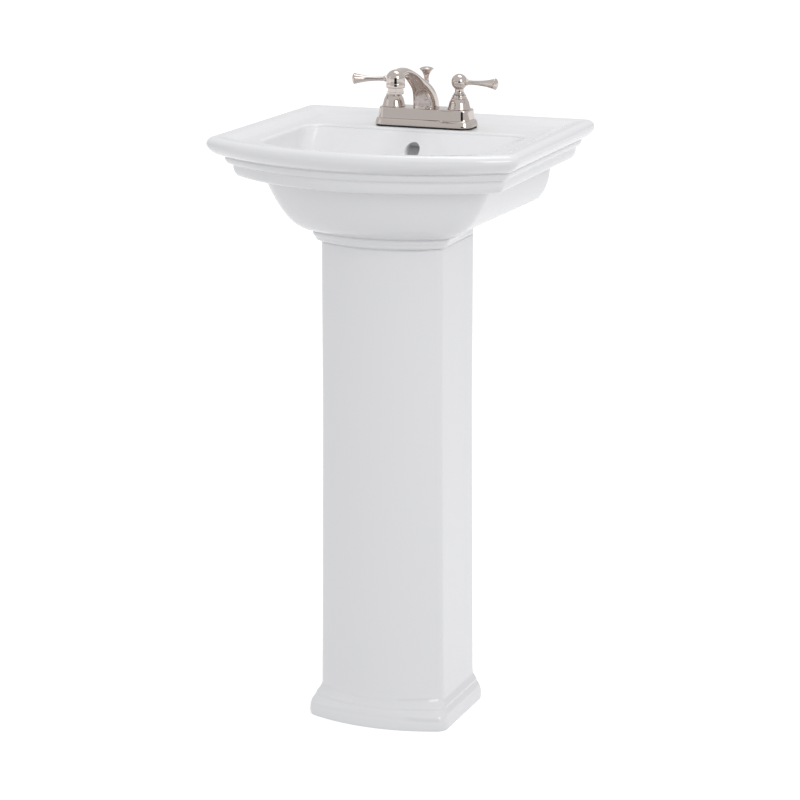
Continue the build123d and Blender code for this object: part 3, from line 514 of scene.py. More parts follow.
def basin_levels(sizes):
    """The basin's outside from the collar up over the rim, and its inside down to the bowl's floor."""
    bead = chain([(11, 17), (7.2, 15.6), (4.6, 13.2), (3.1, 9.6)], [(2.5, 8.9), (1.9, 8.1)],
                 [(0.6, 5.6), (0.2, 3), (1.0, 0.6)])
    neck_z = np.array([0.4, 2.0, 4.5, 7.0, 9.0, 10.6, 11.6]) + COLLAR
    share = (neck_z - COLLAR) / (APRON - COLLAR)
    neck = shell_rows(sizes, neck_z, mix(142, 105, share), mix(93, 128, share**0.7))
    shelf_out = np.array([0.04, 0.25, 0.5, 0.75, 0.97, 1.0])
    shelf_z = APRON + np.array([0, 0, 0, 0, 0, 0.8])
    shelf = shell_rows(sizes, shelf_z, mix(105, 0, shelf_out), mix(128, 138, shelf_out))
    shell_height = MOULDING - COLLAR
    s = np.linspace(math.sqrt(3.0 / shell_height + (APRON - COLLAR) / shell_height), 0.988, 34)
    shell_z = COLLAR + s**2 * shell_height
    shell = shell_rows(sizes, shell_z, 0, shell_half_back(shell_z))
    under = np.array([(56, 60.6), (50, 60.3), (44, 59.9), (40, 59.4)])
    lower = bulge((29.5, 43), (38, 59), 1.9, 14)[::-1]
    crease_low = np.array([(29.2, 42.2), (28.9, 41.5)])
    middle = bulge((20.5, 31), (28.5, 41), 1.7, 12)[::-1]
    crease_high = np.array([(20.6, 30.2), (20.9, 29.5)])
    roll = bulge((0, 10.4), (21, 29), 1.45, 26)[::-1]
    top = bulge((0, 10.4), (9, 0), 2.0, 14)[1:]
    rim = rim_rows(sizes, np.vstack([under, lower, crease_low, middle, crease_high, roll, top]))
    hollow = chain([(11.5, 0.12), (15, 0.5), (19, 1.0), (23, 1.9)],
                   [(26, 3.1), (31, 5.4), (36, 7.4), (42, 8.42)])
    recess = recess_rows(sizes, hollow)
    quarter = np.linspace(0, math.pi / 2, 9)
    lip = bowl_rows(sizes, 0 * quarter, 6 * (1 - np.sin(quarter)), -4 * (1 - np.cos(quarter)))
    depth = np.sin(np.linspace(0.04, math.pi / 2, 54))
    depth = 1 - (1 - depth) ** 0.9
    bowl = bowl_rows(sizes, np.clip(depth, 0.034, 1), 0, 0)
    return [collar_rows(bead), neck, shelf, shell, rim, recess, lip, bowl]


def bowl_back_offset(distance, depths):
    """Points (y, z) behind the bowl's back wall, at a distance square to its inner face."""
    t = np.asarray(depths, float)
    dy = bowl_back(t + 0.005) - bowl_back(t - 0.005)
    dz = 0.01 * BOWL_DEPTH
    run = np.hypot(dy, dz)
    return np.column_stack([WALL - bowl_back(t) + distance * dz / run, LEDGE - t * BOWL_DEPTH - distance * dy / run])


def under_deck_tool():
    """The open space below the deck, as a stack of rectangles between the bowl's back and the back wall."""
    z = np.concatenate([np.linspace(JOINT - 10, HUB_UNDERSIDE, 4), np.linspace(HUB_UNDERSIDE + 0.2, DECK_UNDER, 40)])
    edge = bowl_back_offset(BASIN_WALL, np.linspace(0.02, 0.97, 80))[::-1]
    near = np.interp(z, edge[:, 1], edge[:, 0])
    behind_drain = DRAIN_Y + 41
    near = np.where(z <= HUB_UNDERSIDE, behind_drain, np.maximum(near, behind_drain))
    half = np.interp(z, [JOINT, HUB_UNDERSIDE, COLLAR, APRON, MOULDING - 40, MOULDING, DECK_UNDER],
                     [82, 82, 85, 126, 142, 148, 148])
    corners = np.array([(-1, 0), (1, 0), (1, 1), (-1, 1)])
    x = half[:, None] * corners[None, :, 0]
    y = near[:, None] + (WALL - BASIN_WALL - near[:, None]) * corners[None, :, 1]
    rings = np.stack([x, y, z[:, None] + 0 * x], axis=-1)
    return make_piece("tool", *skin(rings), None)


def collar_pocket_tool():
    """The space inside the collar, below the bowl's floor."""
    front = WALL - 300
    levels = rows([JOINT - 1, HUB_UNDERSIDE], 82, 82, DRAIN_Y + 60, front, 31, 10, 2)
    return make_piece("tool", *skin(bowed(levels)), None)


def overflow_tool():
    """The overflow's mouth: a hole whose edge flares out where it meets the bowl, so the glaze rounds over.
    At each depth behind the wall's face it is a circle, and the face's own shape is added to that depth."""
    z0 = LEDGE - OVERFLOW_DROP
    depth = np.array([-6, -1.2, -0.35, 0.15, 0.7, 1.5, 2.6, 4.0, 21.0])
    flare = np.array([3.6, 2.4, 1.5, 0.95, 0.55, 0.25, 0.05, 0.0, 0.0])
    turn = np.linspace(0, 2 * math.pi, 72, endpoint=False)[None, :]
    reach = (OVERFLOW_RADIUS - 0.3 + flare)[:, None]
    x, z = reach * np.cos(turn), z0 + reach * np.sin(turn)
    face = WALL - bowl_back(np.clip((LEDGE - z) / BOWL_DEPTH, 0, 1))
    rings = np.stack([x, face + depth[:, None], z], axis=-1)
    return make_piece("tool", *skin(rings), None)


def build_basin(sizes, china):
    """The basin: one closed skin through its outlines, less the space under the deck and its holes."""
    levels = np.vstack(basin_levels(sizes))
    rings = bowed(levels)
    seat_radius, drain_radius, faucet_radius, bolt_radius = 29.5, 22.5, 16, 6.5
    reach = rings[-1, :, :2] - [0, DRAIN_Y]
    circle = reach / np.linalg.norm(reach, axis=1, keepdims=True)
    shares = np.array([0.3, 0.6, 0.85, 1.0])[:, None, None]
    flat = reach * (1 - shares) + circle * (seat_radius + 1.5) * shares + [0, DRAIN_Y]
    flat = np.concatenate([flat, np.full((4, len(reach), 1), FLOOR)], axis=2)
    rings = np.concatenate([rings, flat])
    points, faces = skin(rings, poles=((0, DRAIN_Y, JOINT), (0, DRAIN_Y, FLOOR)))
    basin = make_piece("Basin", points, faces, china)
    cut(basin, under_deck_tool())
    cut(basin, collar_pocket_tool())
    # The overflow's passage runs down behind the bowl: its walls first, then the way through them
    depths = np.linspace(0.1, 0.95, 40)
    walls, passage = (np.vstack([bowl_back_offset(near, depths), bowl_back_offset(far, depths)[::-1]])
                      for near, far in ((11, 30), (9, 23)))
    cut(basin, carried(walls, 20), "UNION")
    cut(basin, carried(passage, 13))
    cut(basin, overflow_tool())
    cut(basin, drum(drain_radius, JOINT - 20, FLOOR + 5, 0, DRAIN_Y))
    cut(basin, drum(seat_radius, FLOOR - 3.5, FLOOR + 5, 0, DRAIN_Y, 96))
    for x in (-HANDLE_X, 0, HANDLE_X):
        cut(basin, drum(faucet_radius, DECK_UNDER - 5, LEDGE + 5, x, FAUCET_Y))
    for x in (-100, 100):
        cut(basin, bar_y(bolt_radius, WALL - 17, WALL + 5, x, RIM - 62))
    shade(basin, 34)
    return basin


# ---- pedestal
def shaft_rows(z, grow):
    """The shaft, wider by grow on each side, narrowing a little over the lower 5/8 of its height."""
    z = np.asarray(z, float)
    s = np.clip((z - 47) / (JOINT - 47), 0, 1)
    half = mix(SHAFT_HALF, 92, np.clip(1.6 * s, 0, 1)) + grow
    back, front = WALL - PEDESTAL_GAP, WALL - SHAFT_REACH - grow
    return rows(z, half, half, back, front, SHAFT_BOW, 14 + 0.2 * grow, 2)


def plinth_rows(z, share):
    """The foot's moulding: share runs from 0 at the shaft to 1 at its widest."""
    half = SHAFT_HALF + PLINTH_STEP * share
    back, front = WALL - PEDESTAL_GAP + 3 * share, WALL - SHAFT_REACH - PLINTH_STEP * share
    return rows(z, half, half, back, front, mix(SHAFT_BOW, 23, share), 14 + 2 * share, 2)


def build_pedestal(china):
    """The pedestal: its moulded foot and shaft in one skin, hollow, and open at the back."""
    foot = chain([(0.0, 0.86), (0.8, 0.92), (3, 0.97), (9, 1), (16, 0.965), (22, 0.85), (26.4, 0.67),
                  (28.6, 0.55)],
                 [(29.4, 0.5), (30.4, 0.5)],
                 [(31.8, 0.485), (34, 0.41), (37.5, 0.24), (41.5, 0.09), (45, 0.02), (49, 0)])
    top = np.array([(JOINT - 1.6, 0), (JOINT - 0.5, -0.5), (JOINT, -1.6)])
    shaft = np.linspace(52, JOINT - 3, 60)
    levels = np.vstack([plinth_rows(foot[:, 0], foot[:, 1]), shaft_rows(shaft, 0),
                        shaft_rows(top[:, 0], top[:, 1])])
    pedestal = make_piece("Pedestal", *skin(bowed(levels)), china)
    inside = WALL - PEDESTAL_GAP - PEDESTAL_WALL
    hollow = shaft_rows(np.linspace(-5, JOINT + 5, 40), -PEDESTAL_WALL)
    hollow[:, 3] = inside
    cut(pedestal, make_piece("tool", *skin(bowed(hollow)), None))
    cut(pedestal, box_tool((-60, inside - 1, -10), (60, WALL, JOINT + 10)))
    lug = box_tool((-89, inside - 45, 0), (89, inside + 1, 12))
    for x in (-30, 30):
        cut(lug, drum(4.5, -5, 17, x, inside - 24))
    cut(pedestal, lug, "UNION")
    shade(pedestal, 34)
    return pedestal


# ---- faucet
def rounded_rings(levels, counts=(22, 10, 10)):
    """Rounded rectangles about the faucet's axis, one for each row (height, length, depth, corner radius)."""
    rows_in = np.asarray(levels, float)
    z, half_x, half_y, radius = (c[:, None] for c in (rows_in * [1, 0.5, 0.5, 1]).T)
    flat_x, bend, flat_y = (np.linspace(0, 1, n, endpoint=False)[None, :] for n in counts)
    inner_x, inner_y = half_x - radius, half_y - radius
    quarter = math.pi / 2 * bend
    x = np.hstack([inner_x * flat_x, inner_x + radius * np.sin(quarter), half_x + 0 * flat_y])
    y = np.hstack([half_y + 0 * flat_x, inner_y + radius * np.cos(quarter), inner_y * (1 - flat_y)])
    x_all = np.hstack([x, half_x, x[:, :0:-1], 0 * half_x, -x[:, 1:], -half_x, -x[:, :0:-1]])
    y_all = np.hstack([y, 0 * half_y, -y[:, :0:-1], -half_y, -y[:, 1:], 0 * half_y, y[:, :0:-1]])
    return np.stack([x_all, y_all + FAUCET_Y, z + 0 * x_all], axis=-1)


def build_cover(nickel):
    """The faucet's base: a flared foot, a small step and a body that leans in to a flat top."""
    length, depth = COVER_HIGH[0] - COVER_LOW[0], COVER_HIGH[1] - COVER_LOW[1]
    low, high = COVER_LOW[2], COVER_HIGH[2]
    tall = high - low
    side = chain([(0.5, 0), (0.08, 0.5), (0, 1.2), (0.2, 2.6)],
                 [(0.9, 5.4), (1.6, 7.6), (2.4, 8.9), (3.3, 9.5)],
                 [(4.3, 9.8)], [(4.6, 11.2), (5.2, 16), (5.9, tall - 1.6)],
                 [(6.2, tall - 0.7), (6.9, tall - 0.15), (7.8, tall)])
    inset = side[:, 0]
    levels = rows(low + side[:, 1], length - 2 * inset, depth - 2 * inset, 16 - 0.8 * inset)
    poles = ((0, FAUCET_Y, low), (0, FAUCET_Y, high))
    cover = make_piece("Faucet_base", *skin(rounded_rings(levels), poles=poles), nickel)
    thinner = np.array([5, 9.6, 13.8, 17.6])
    inside = rows([low - 1, low + 9, low + 10, high - 2.5], length - thinner, depth - thinner, [14, 12, 10.5, 9])
    poles = ((0, FAUCET_Y, low - 1), (0, FAUCET_Y, high - 2.5))
    cut(cover, make_piece("tool", *skin(rounded_rings(inside), poles=poles), None))
    for x in (-HANDLE_X, HANDLE_X):
        cut(cover, drum(12.2, low - 2, high + 2, x, FAUCET_Y))
    cut(cover, drum(9, low - 2, high + 2, 0, FAUCET_Y))
    shade(cover, 32)
    return cover


def spout_stations():
    """The spout's centre line and half sizes: (forward, above the base, half width, half thickness)."""
    return curve([(0, 0, 18.3, 18.8), (3, 10, 17.8, 17.3), (10, 21, 16.3, 13.8), (23, 32.5, 13.8, 10.4),
                  (43, 43.5, 11.4, 7.7), (68, 55.5, 9.8, 6), (95, 63, 9, 6), (118, 62, 9, 6)], 12)


def build_spout(nickel):
    """The spout: ellipses carried along the centre line, flattened towards the outlet, with a shallow panel
    sunk into the front of the stem, and a domed head with a skirt over the aerator."""
    stations = spout_stations()
    forward, above, wide, thick = (c[:, None] for c in stations.T)
    step = np.gradient(stations[:, :2], axis=0)
    step = step / np.linalg.norm(step, axis=1, keepdims=True)
    step[0] = (0, 1)
    run, rise = step[:, :1], step[:, 1:]
    turn = np.linspace(0, 2 * math.pi, 120, endpoint=False)[None, :]
    share = np.linspace(0, 1, len(stations))[:, None]
    across, out = np.cos(turn), np.sin(turn)
    square = (np.abs(across) ** 2.5 + np.abs(out) ** 2.5) ** (-1 / 2.5)
    across, out = across * square, out * square
    panel = np.clip((-out - 0.1) / 0.25, 0, 1) * np.clip((0.66 - np.abs(across)) / 0.12, 0, 1)
    panel = panel * np.clip((share - 0.05) / 0.06, 0, 1) * np.clip((0.9 - share) / 0.1, 0, 1)
    panel = panel * panel * (3 - 2 * panel)
    dimple = np.exp(-((across * wide) ** 2 + ((share - 0.13) * 150) ** 2) / 2.2**2) * (out < 0)
    depth = out * thick + 1.2 * panel + 1.1 * dimple
    y = FAUCET_Y - forward + depth * rise
    z = COVER_TOP + above + depth * run
    rings = np.stack([across * wide + 0 * z, y, z], axis=-1)
    spout = make_piece("Spout", *skin(rings), nickel)
    head_radius, head_z = 13.2, OUTLET_Z + 12.5
    a = np.linspace(math.pi / 2, 0, 20)
    dome = np.column_stack([head_radius * np.cos(a), head_z + head_radius * np.sin(a)])
    skirt = chain([(head_radius, head_z), (head_radius, head_z - 6)],
                  [(13.5, head_z - 7.5), (13.5, head_z - 11.3), (13.0, head_z - 12.3),
                   (12.4, OUTLET_Z)])
    head = np.vstack([dome, skirt[1:], [(0, OUTLET_Z)]])
    head[0, 0] = 0
    cut(spout, turned_solid("tool", head, 0, OUTLET_Y, None), "UNION")
    # The lift rod's boss, its bore, and the aerator's seat
    cut(spout, drum(5.4, COVER_TOP + 24, KNOB_LOW[2] - 2.5, 0, FAUCET_Y), "UNION")
    cut(spout, drum(3.4, COVER_TOP - 5, KNOB_LOW[2] + 5, 0, FAUCET_Y))
    cut(spout, drum(10.2, OUTLET_Z - 3, OUTLET_Z + 4, 0, OUTLET_Y))
    shade(spout, 30)
    return spout


def build_aerator(nickel):
    """The ring at the outlet: a turned sleeve with a small step and a rolled lower edge."""
    low, top = AERATOR_LOW[2], AERATOR_HIGH[2]
    seat = OUTLET_Z + 0.5
    outer = chain([(8.2, low), (10.6, low), (11.3, low + 0.6), (11.5, low + 1.6)],
                  [(11.5, low + 3.4)], [(11.1, low + 3.7)],
                  [(11.1, seat)], [(9.7, seat + 0.1)], [(9.7, top)])
    inner = np.array([(8.2, top), (8.2, low + 3.2), (6.9, low + 2.6), (6.9, low + 1.0)])
    return turned_ring("Aerator_ring", np.vstack([outer, inner]), 0, OUTLET_Y, nickel)


def build_bonnet(side, nickel):
    """A bell over each valve: a thin foot, a swelling flank, a neck bead and a collar."""
    top = BONNET_TOP - COVER_TOP
    outer = chain([(12.1, 0), (16.9, 0)], [(17.2, 0.3), (17.2, 0.9), (16.8, 1.4)],
                  [(16.3, 2.8), (15.6, 5.8), (14.5, 9.8), (12.9, 13.2), (11.8, 15.3)],
                  [(11.1, 15.6)], [(11.4, 16.3), (11.3, 17.2), (10.8, 17.8)],
                  [(10.1, 18)], [(10.1, top - 0.7)],
                  [(9.8, top - 0.2), (9.2, top)], [(5.2, top)])
    inner = np.array([(5.2, top - 2.5), (9, top - 2.5), (9, 9.5), (12.1, 9.5)])
    profile = np.vstack([outer, inner]) + [0, COVER_TOP]
    return turned_ring(f"Bonnet_{side}", profile, SIDES[side] * HANDLE_X, FAUCET_Y, nickel)


def build_hub(side, nickel):
    """The handle's hub: a small foot and neck that open into a ball."""
    x = SIDES[side] * HANDLE_X
    low = BONNET_TOP + 0.4
    a = np.linspace(-math.acos(6.6 / HUB_RADIUS), math.pi / 2, 36)
    ball = np.column_stack([HUB_RADIUS * np.cos(a), HUB + HUB_RADIUS * np.sin(a)])
    foot = chain([(0, low), (7.9, low)], [(8.4, low + 0.4), (8.4, low + 1.3), (8.0, low + 1.8)],
                 [(7.1, low + 2.5), (6.7, low + 3.8), (6.5, low + 6.0), (6.5, ball[0, 1] - 0.3)])
    profile = np.vstack([foot, ball[1:-1], [(0, HUB + HUB_RADIUS)]])
    hub = turned_solid(f"Handle_hub_{side}", profile, x, FAUCET_Y, nickel)
    angle = math.radians(LEVER_TURN[side])
    reach = np.array([-HUB_RADIUS - 2, -3.0])
    turn = np.linspace(0, 2 * math.pi, 24, endpoint=False)
    screw_radius, screw_z = 1.5, 4 - HUB_RADIUS
    ring = np.column_stack([0 * turn, screw_radius * np.cos(turn), screw_radius * np.sin(turn)])
    rings = np.stack([ring + [reach[0], 0, screw_z], ring + [reach[1], 0, screw_z]])
    cut(hub, make_piece("tool", *skin(swung(rings, angle, x)), None))
    shade(hub, 32)
    return hub


def swung(rings, angle, x):
    """Points given about a handle's axis, turned by angle about it and carried to the hub's centre."""
    c, s = math.cos(angle), math.sin(angle)
    turn = np.array([(c, -s, 0), (s, c, 0), (0, 0, 1)])
    return rings @ turn.T + [x, FAUCET_Y, HUB]


def build_lever(side, nickel):
    """The lever: a slim arm that leaves the ball through a collar and flares like a trumpet to a domed end."""
    near, end = HUB_RADIUS, 61.5
    profile = chain([(near - 6, 0), (near - 6, 2.6)], [(near - 1.2, 2.6)],
                    [(near - 1.2, 4.3)],
                    [(near + 0.6, 4.6), (near + 1.8, 4.4), (near + 2.6, 3.6), (near + 3.6, 3.25)],
                    [(end - 38, 3.2), (end - 25, 4.0), (end - 17, 5.1), (end - 9, 6.8),
                     (end - 5.2, 7.8)],
                    [(end - 4.4, 8.15), (end - 3.5, 8.2), (end - 2.9, 7.9)],
                    [(end - 2.5, 7.2)],
                    [(end - 1.6, 6.2), (end - 0.5, 3.4), (end, 0)])
    reach, radius = profile[1:-1, :1], profile[1:-1, 1:]
    turn = np.linspace(0, 2 * math.pi, 64, endpoint=False)[None, :]
    rings = np.stack([reach + 0 * turn, radius * np.cos(turn), radius * np.sin(turn)], axis=-1)
    ends = np.array([(profile[0, 0], 0, 0), (end, 0, 0)])
    angle = math.radians(LEVER_TURN[side])
    x = SIDES[side] * HANDLE_X
    points, faces = skin(swung(rings, angle, x), poles=swung(ends, angle, x))
    return make_piece(f"Lever_{side}", points, faces, nickel)


def build_knob(nickel):
    """The lift knob: a collar, a slim waist and a trumpet mouth closed by a shallow dome."""
    profile = chain([(0, 0), (4.0, 0)], [(4.3, 0.7), (4.1, 1.6), (3.6, 2.3)],
                    [(3.4, 4.5), (3.9, 8.5), (5.2, 12.6), (7.4, 16.2), (10.0, 19.0)],
                    [(10.4, 19.7), (10.4, 20.5), (9.9, 21.0)], [(8.8, 21.2)],
                    [(7, 22.2), (3.5, 22.9), (0, 23)])
    return turned_solid("Lift_knob", profile + [0, KNOB_LOW[2]], 0, FAUCET_Y, nickel)


def build_flange(nickel):
    """The drain's flange: a dished ring let into the bowl's floor, with its throat below."""
    outer = chain([(16.5, -28), (19, -28)], [(19, -3.5)], [(28.6, -3.5)],
                  [(29, -0.6)], [(28.4, 0.2), (26.5, 0.7), (23, 0.8)],
                  [(20.5, 0.7), (19.3, 0.2), (18.8, -0.8)], [(18.8, -2.2)],
                  [(16.5, -2.2)])
    return turned_ring("Drain_flange", outer + [0, FLOOR], 0, DRAIN_Y, nickel, 128)


def build_stopper(nickel):
    """The stopper's cap: a shallow dome with a rounded rim."""
    profile = chain([(0, 0), (17.2, 0)], [(17.9, 0.4), (18.2, 1.1), (18.0, 1.9), (17.2, 2.4)],
                    [(14, 3.3), (9, 4.1), (4, 4.5), (0, 4.6)])
    return turned_solid("Stopper_cap", profile + [0, CAP_LOW[2]], 0, DRAIN_Y, nickel, 128)


# ---- settings
class SinkBasinSettings(bpy.types.PropertyGroup):
    basin_width: FloatProperty(
        name="Width", description="Across the rolled rim at the front corners",
        default=float(BASIN_HIGH[0] - BASIN_LOW[0]) * MM, min=0.3, max=0.9, unit="LENGTH")
    basin_depth: FloatProperty(
        name="Depth", description="From the wall to the middle of the bowed front",
        default=float(BASIN_HIGH[1] - BASIN_LOW[1]) * MM, min=0.3, max=0.8, unit="LENGTH")
    front_bow: FloatProperty(
        name="Bow", description="How far the middle of the front stands out from its corners",
        default=0.073, min=0.01, max=0.15, unit="LENGTH")


class SinkChinaSettings(bpy.types.PropertyGroup):
    glaze_colour: FloatVectorProperty(
        name="Glaze", description="Colour of the glazed china", subtype="COLOR", size=3,
        default=linear("#EDEDEF"), min=0, max=1)
    glaze_roughness: FloatProperty(
        name="Gloss", description="Roughness of the glaze, 0 for a mirror",
        default=0.09, min=0, max=1, subtype="FACTOR")
    glaze_ripple: FloatProperty(
        name="Ripple", description="Height of the slow waves in the glaze",
        default=0.00035, min=0, max=0.002, precision=5, unit="LENGTH")


class SinkMetalSettings(bpy.types.PropertyGroup):
    nickel_colour: FloatVectorProperty(
        name="Nickel", description="Colour of the plated faucet and drain", subtype="COLOR", size=3,
        default=linear("#CDC3BD"), min=0, max=1)
    nickel_roughness: FloatProperty(
        name="Polish", description="Roughness of the plating, 0 for a mirror",
        default=0.07, min=0, max=1, subtype="FACTOR")


class SinkStageSettings(bpy.types.PropertyGroup):
    floor_colour: FloatVectorProperty(
        name="Floor", description="Colour of the plain floor", subtype="COLOR", size=3,
        default=linear("#FFFFFF"), min=0, max=1)
    key_power: FloatProperty(
        name="Key light", description="Power of the large light on the right",
        default=17.0, min=0, max=2000, unit="POWER")
    fill_power: FloatProperty(
        name="Fill light", description="Power of the light on the left",
        default=2.0, min=0, max=2000, unit="POWER")
    top_power: FloatProperty(
        name="Top light", description="Power of the light overhead",
        default=12.0, min=0, max=2000, unit="POWER")


def china_material():
    """The glazed china, made once and shared."""
    return bpy.data.materials.get("Vitreous china, glazed") or glazed_china(bpy.context.scene.sink_china)


def nickel_material():
    """The polished nickel, made once and shared."""
    return bpy.data.materials.get("Nickel plate, polished") or polished_nickel(bpy.context.scene.sink_metal)


def place(piece, body, node):
    """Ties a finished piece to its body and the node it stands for."""
    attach(piece, body)
    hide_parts(node)


# ---- operators
class SINK_OT_basin(bpy.types.Operator):
    """Builds the china basin"""

    bl_idname = "sink.basin"
    bl_label = "Basin"

    def execute(self, context):
        basin = build_basin(context.scene.sink_basin, china_material())
        place(basin, "sink", "basin")
        return {"FINISHED"}


class SINK_OT_pedestal(bpy.types.Operator):
    """Builds the china pedestal"""

    bl_idname = "sink.pedestal"
    bl_label = "Pedestal"

    def execute(self, context):
        place(build_pedestal(china_material()), "sink", "pedestal")
        return {"FINISHED"}


class SINK_OT_faucet(bpy.types.Operator):
    """Builds the faucet's base, spout, aerator ring and bonnets"""

    bl_idname = "sink.faucet"
    bl_label = "Faucet body"

    def execute(self, context):
        nickel = nickel_material()
        place(build_cover(nickel), "sink", "faucet_cover")
        place(build_spout(nickel), "sink", "spout")
        place(build_aerator(nickel), "sink", "aerator_housing")
        for side in SIDES:
            place(build_bonnet(side, nickel), "sink", f"{side}_bonnet")
        return {"FINISHED"}


class SINK_OT_handles(bpy.types.Operator):
    """Builds the two handles' hubs and levers"""

    bl_idname = "sink.handles"
    bl_label = "Handles"

    def execute(self, context):
        nickel = nickel_material()
        for side in SIDES:
            place(build_hub(side, nickel), f"{side}_handle", f"{side}_handle_hub")
            place(build_lever(side, nickel), f"{side}_handle", f"{side}_lever")
        return {"FINISHED"}


class SINK_OT_lift_knob(bpy.types.Operator):
    """Builds the knob that lifts the stopper"""

    bl_idname = "sink.lift_knob"
    bl_label = "Lift knob"

    def execute(self, context):
        place(build_knob(nickel_material()), "lift", "lift_knob")
        return {"FINISHED"}


class SINK_OT_drain(bpy.types.Operator):
    """Builds the drain's flange and stopper cap"""

    bl_idname = "sink.drain"
    bl_label = "Drain"

    def execute(self, context):
        nickel = nickel_material()
        place(build_flange(nickel), "sink", "drain_flange")
        place(build_stopper(nickel), "stopper", "stopper_cap")
        return {"FINISHED"}


class SINK_OT_fittings(bpy.types.Operator):
    """Gives the parts kept from the frame their materials"""

    bl_idname = "sink.fittings"
    bl_label = "Fittings"

    def execute(self, context):
        finishes = {
            "polished_nickel": nickel_material(),
            "glazed_china": china_material(),
            "cast_brass": cast_brass(),
            "steel": zinc_steel(),
            "chromed_tube": chrome_tube(),
            "rubber": black_rubber(),
            "white_plastic": white_plastic(),
        }
        slots = {part["node"]: part["material_slot"] for part in frame["record"]["subparts"]}
        for name, node in NODES.items():
            node.data.materials.clear()
            node.data.materials.append(finishes[slots[name]])
        return {"FINISHED"}


class SINK_OT_stage(bpy.types.Operator):
    """Builds the floor, the lights and the camera"""

    bl_idname = "sink.stage"
    bl_label = "Stage"

    def execute(self, context):
        settings = context.scene.sink_stage
        build_floor(settings)
        build_world()
        build_lights(settings)
        build_camera()
        return {"FINISHED"}


def build_floor(settings):
    """A plain pale floor, bright enough to read as white."""
    side = 60.0
    corners = [(-side, -side, 0), (side, -side, 0), (side, side, 0), (-side, side, 0)]
    mesh = bpy.data.meshes.new("Floor")
    mesh.from_pydata(corners, [], [(0, 1, 2, 3)])
    floor = bpy.data.objects.new("Floor", mesh)
    bpy.context.scene.collection.objects.link(floor)
    material = new_material(
        "Floor, matt white paint", settings.floor_colour, 0.0, 0.9,
        {"Emission Color": (1, 1, 1, 1), "Emission Strength": 0.32, "Specular IOR Level": 0.1})[0]
    mesh.materials.append(material)
    floor.visible_diffuse = False


def build_world():
    """Even studio light from all round, whose strength rises a little with the height it comes from."""
    world = bpy.data.worlds.new("Studio")
    world.use_nodes = True
    tree = world.node_tree
    tree.nodes.clear()
    place_on = add_node(tree, "ShaderNodeTexCoord")
    split = add_node(tree, "ShaderNodeSeparateXYZ", {}, [(place_on, "Generated", "Vector")])
    height = add_node(tree, "ShaderNodeMapRange",
                      {"From Min": -0.4, "From Max": 0.6, "To Min": 0.68, "To Max": 0.77}, [(split, "Z", "Value")])
    background = add_node(tree, "ShaderNodeBackground", {"Color": (0.985, 0.99, 1.0, 1)},
                          [(height, "Result", "Strength")])
    add_node(tree, "ShaderNodeOutputWorld", {}, [(background, "Background", "Surface")])
    bpy.context.scene.world = world


def soft_light(name, power, size, size_y, place_at, target, colour=(1, 1, 1)):
    """A rectangular studio light at place_at that faces target."""
    light = bpy.data.lights.new(name, "AREA")
    light.shape = "RECTANGLE"
    light.size, light.size_y = size, size_y
    light.energy = power
    light.color = colour
    lamp = bpy.data.objects.new(name, light)
    lamp.location = place_at
    lamp.rotation_euler = (Vector(target) - Vector(place_at)).to_track_quat("-Z", "Y").to_euler()
    bpy.context.scene.collection.objects.link(lamp)
    lamp.visible_camera = False
    return lamp


def dark_card(name, centre, target, width, height):
    """A black card that only reflections see, for the dark bands of a studio in polished metal."""
    material = new_material(f"{name}, black felt", (0.01, 0.01, 0.01), 0.0, 1.0)[0]
    corners = [Vector((x * width / 2, y * height / 2, 0)) for x, y in ((-1, -1), (1, -1), (1, 1), (-1, 1))]
    turn = (Vector(target) - Vector(centre)).to_track_quat("Z", "Y").to_matrix()
    mesh = bpy.data.meshes.new(name)
    mesh.from_pydata([tuple(turn @ c + Vector(centre)) for c in corners], [], [(0, 1, 2, 3)])
    mesh.materials.append(material)
    card = bpy.data.objects.new(name, mesh)
    bpy.context.scene.collection.objects.link(card)
    card.visible_camera = False
    card.visible_diffuse = False
    card.visible_shadow = False


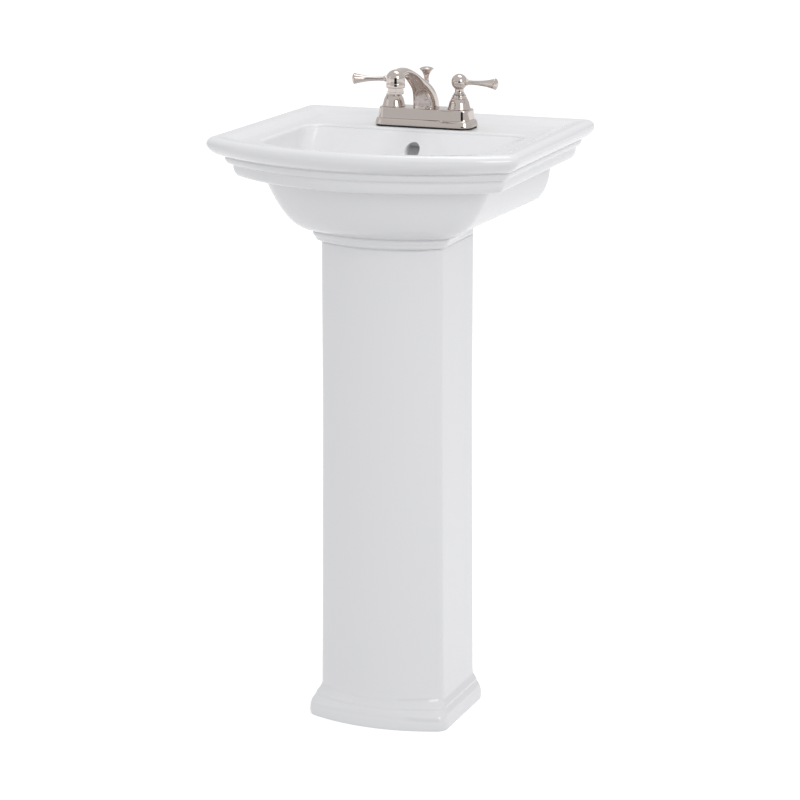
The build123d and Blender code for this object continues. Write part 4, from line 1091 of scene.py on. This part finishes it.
def build_lights(settings):
    """A large key light on the right, a weak fill, a warmer one overhead, and a dark card for the metal."""
    bowl = (0, 0, 0.8)
    soft_light("Key light", settings.key_power, 1.3, 1.5, (2.3, -1.9, 2.2), bowl)
    soft_light("Fill light", settings.fill_power, 1.6, 1.6, (-2.6, -1.6, 1.5), bowl)
    soft_light("Top light", settings.top_power, 1.6, 1.2, (0.2, 0.4, 3.2), bowl, (1.0, 0.985, 0.965))
    dark_card("Camera_side", (1.9, -4.9, 1.3), (0, 0, 0.9), 3.0, 2.0)


def build_camera():
    """The camera: right of the front, a little above the rim, with a long lens."""
    camera = bpy.data.cameras.new("Camera")
    camera.lens = 129.9
    camera.sensor_width = 36.0
    camera.clip_end = 200.0
    holder = bpy.data.objects.new("Camera", camera)
    holder.location = (1.4798, -3.7998, 1.4633)
    holder.rotation_euler = (math.radians(76.3), 0.0, math.radians(21.2))
    bpy.context.scene.collection.objects.link(holder)
    bpy.context.scene.camera = holder


class SINK_PT_panel(bpy.types.Panel):
    """Lists the settings and the steps"""

    bl_idname = "SINK_PT_panel"
    bl_label = "Pedestal sink"
    bl_space_type = "VIEW_3D"
    bl_region_type = "UI"
    bl_category = "Sink"

    def draw(self, context):
        column = self.layout.column()
        for group, names in SETTINGS_SHOWN.items():
            for name in names:
                column.prop(getattr(context.scene, group), name)
        for name in STEPS:
            column.operator(f"sink.{name}")


SETTINGS = {
    "sink_basin": SinkBasinSettings,
    "sink_china": SinkChinaSettings,
    "sink_metal": SinkMetalSettings,
    "sink_stage": SinkStageSettings,
}
SETTINGS_SHOWN = {group: list(kind.__annotations__) for group, kind in SETTINGS.items()}
STEPS = ["basin", "pedestal", "faucet", "handles", "lift_knob", "drain", "fittings", "stage"]
OPERATORS = [
    SINK_OT_basin,
    SINK_OT_pedestal,
    SINK_OT_faucet,
    SINK_OT_handles,
    SINK_OT_lift_knob,
    SINK_OT_drain,
    SINK_OT_fittings,
    SINK_OT_stage,
]


def register():
    for kind in [*SETTINGS.values(), *OPERATORS, SINK_PT_panel]:
        bpy.utils.register_class(kind)
    for group, kind in SETTINGS.items():
        setattr(bpy.types.Scene, group, PointerProperty(type=kind))


def unregister():
    for group in SETTINGS:
        delattr(bpy.types.Scene, group)
    for kind in reversed([*SETTINGS.values(), *OPERATORS, SINK_PT_panel]):
        bpy.utils.unregister_class(kind)


def main():
    register()
    for name in STEPS:
        getattr(bpy.ops.sink, name)()
    bpy.context.scene.view_settings.view_transform = "Standard"


if __name__ == "__main__":
    main()
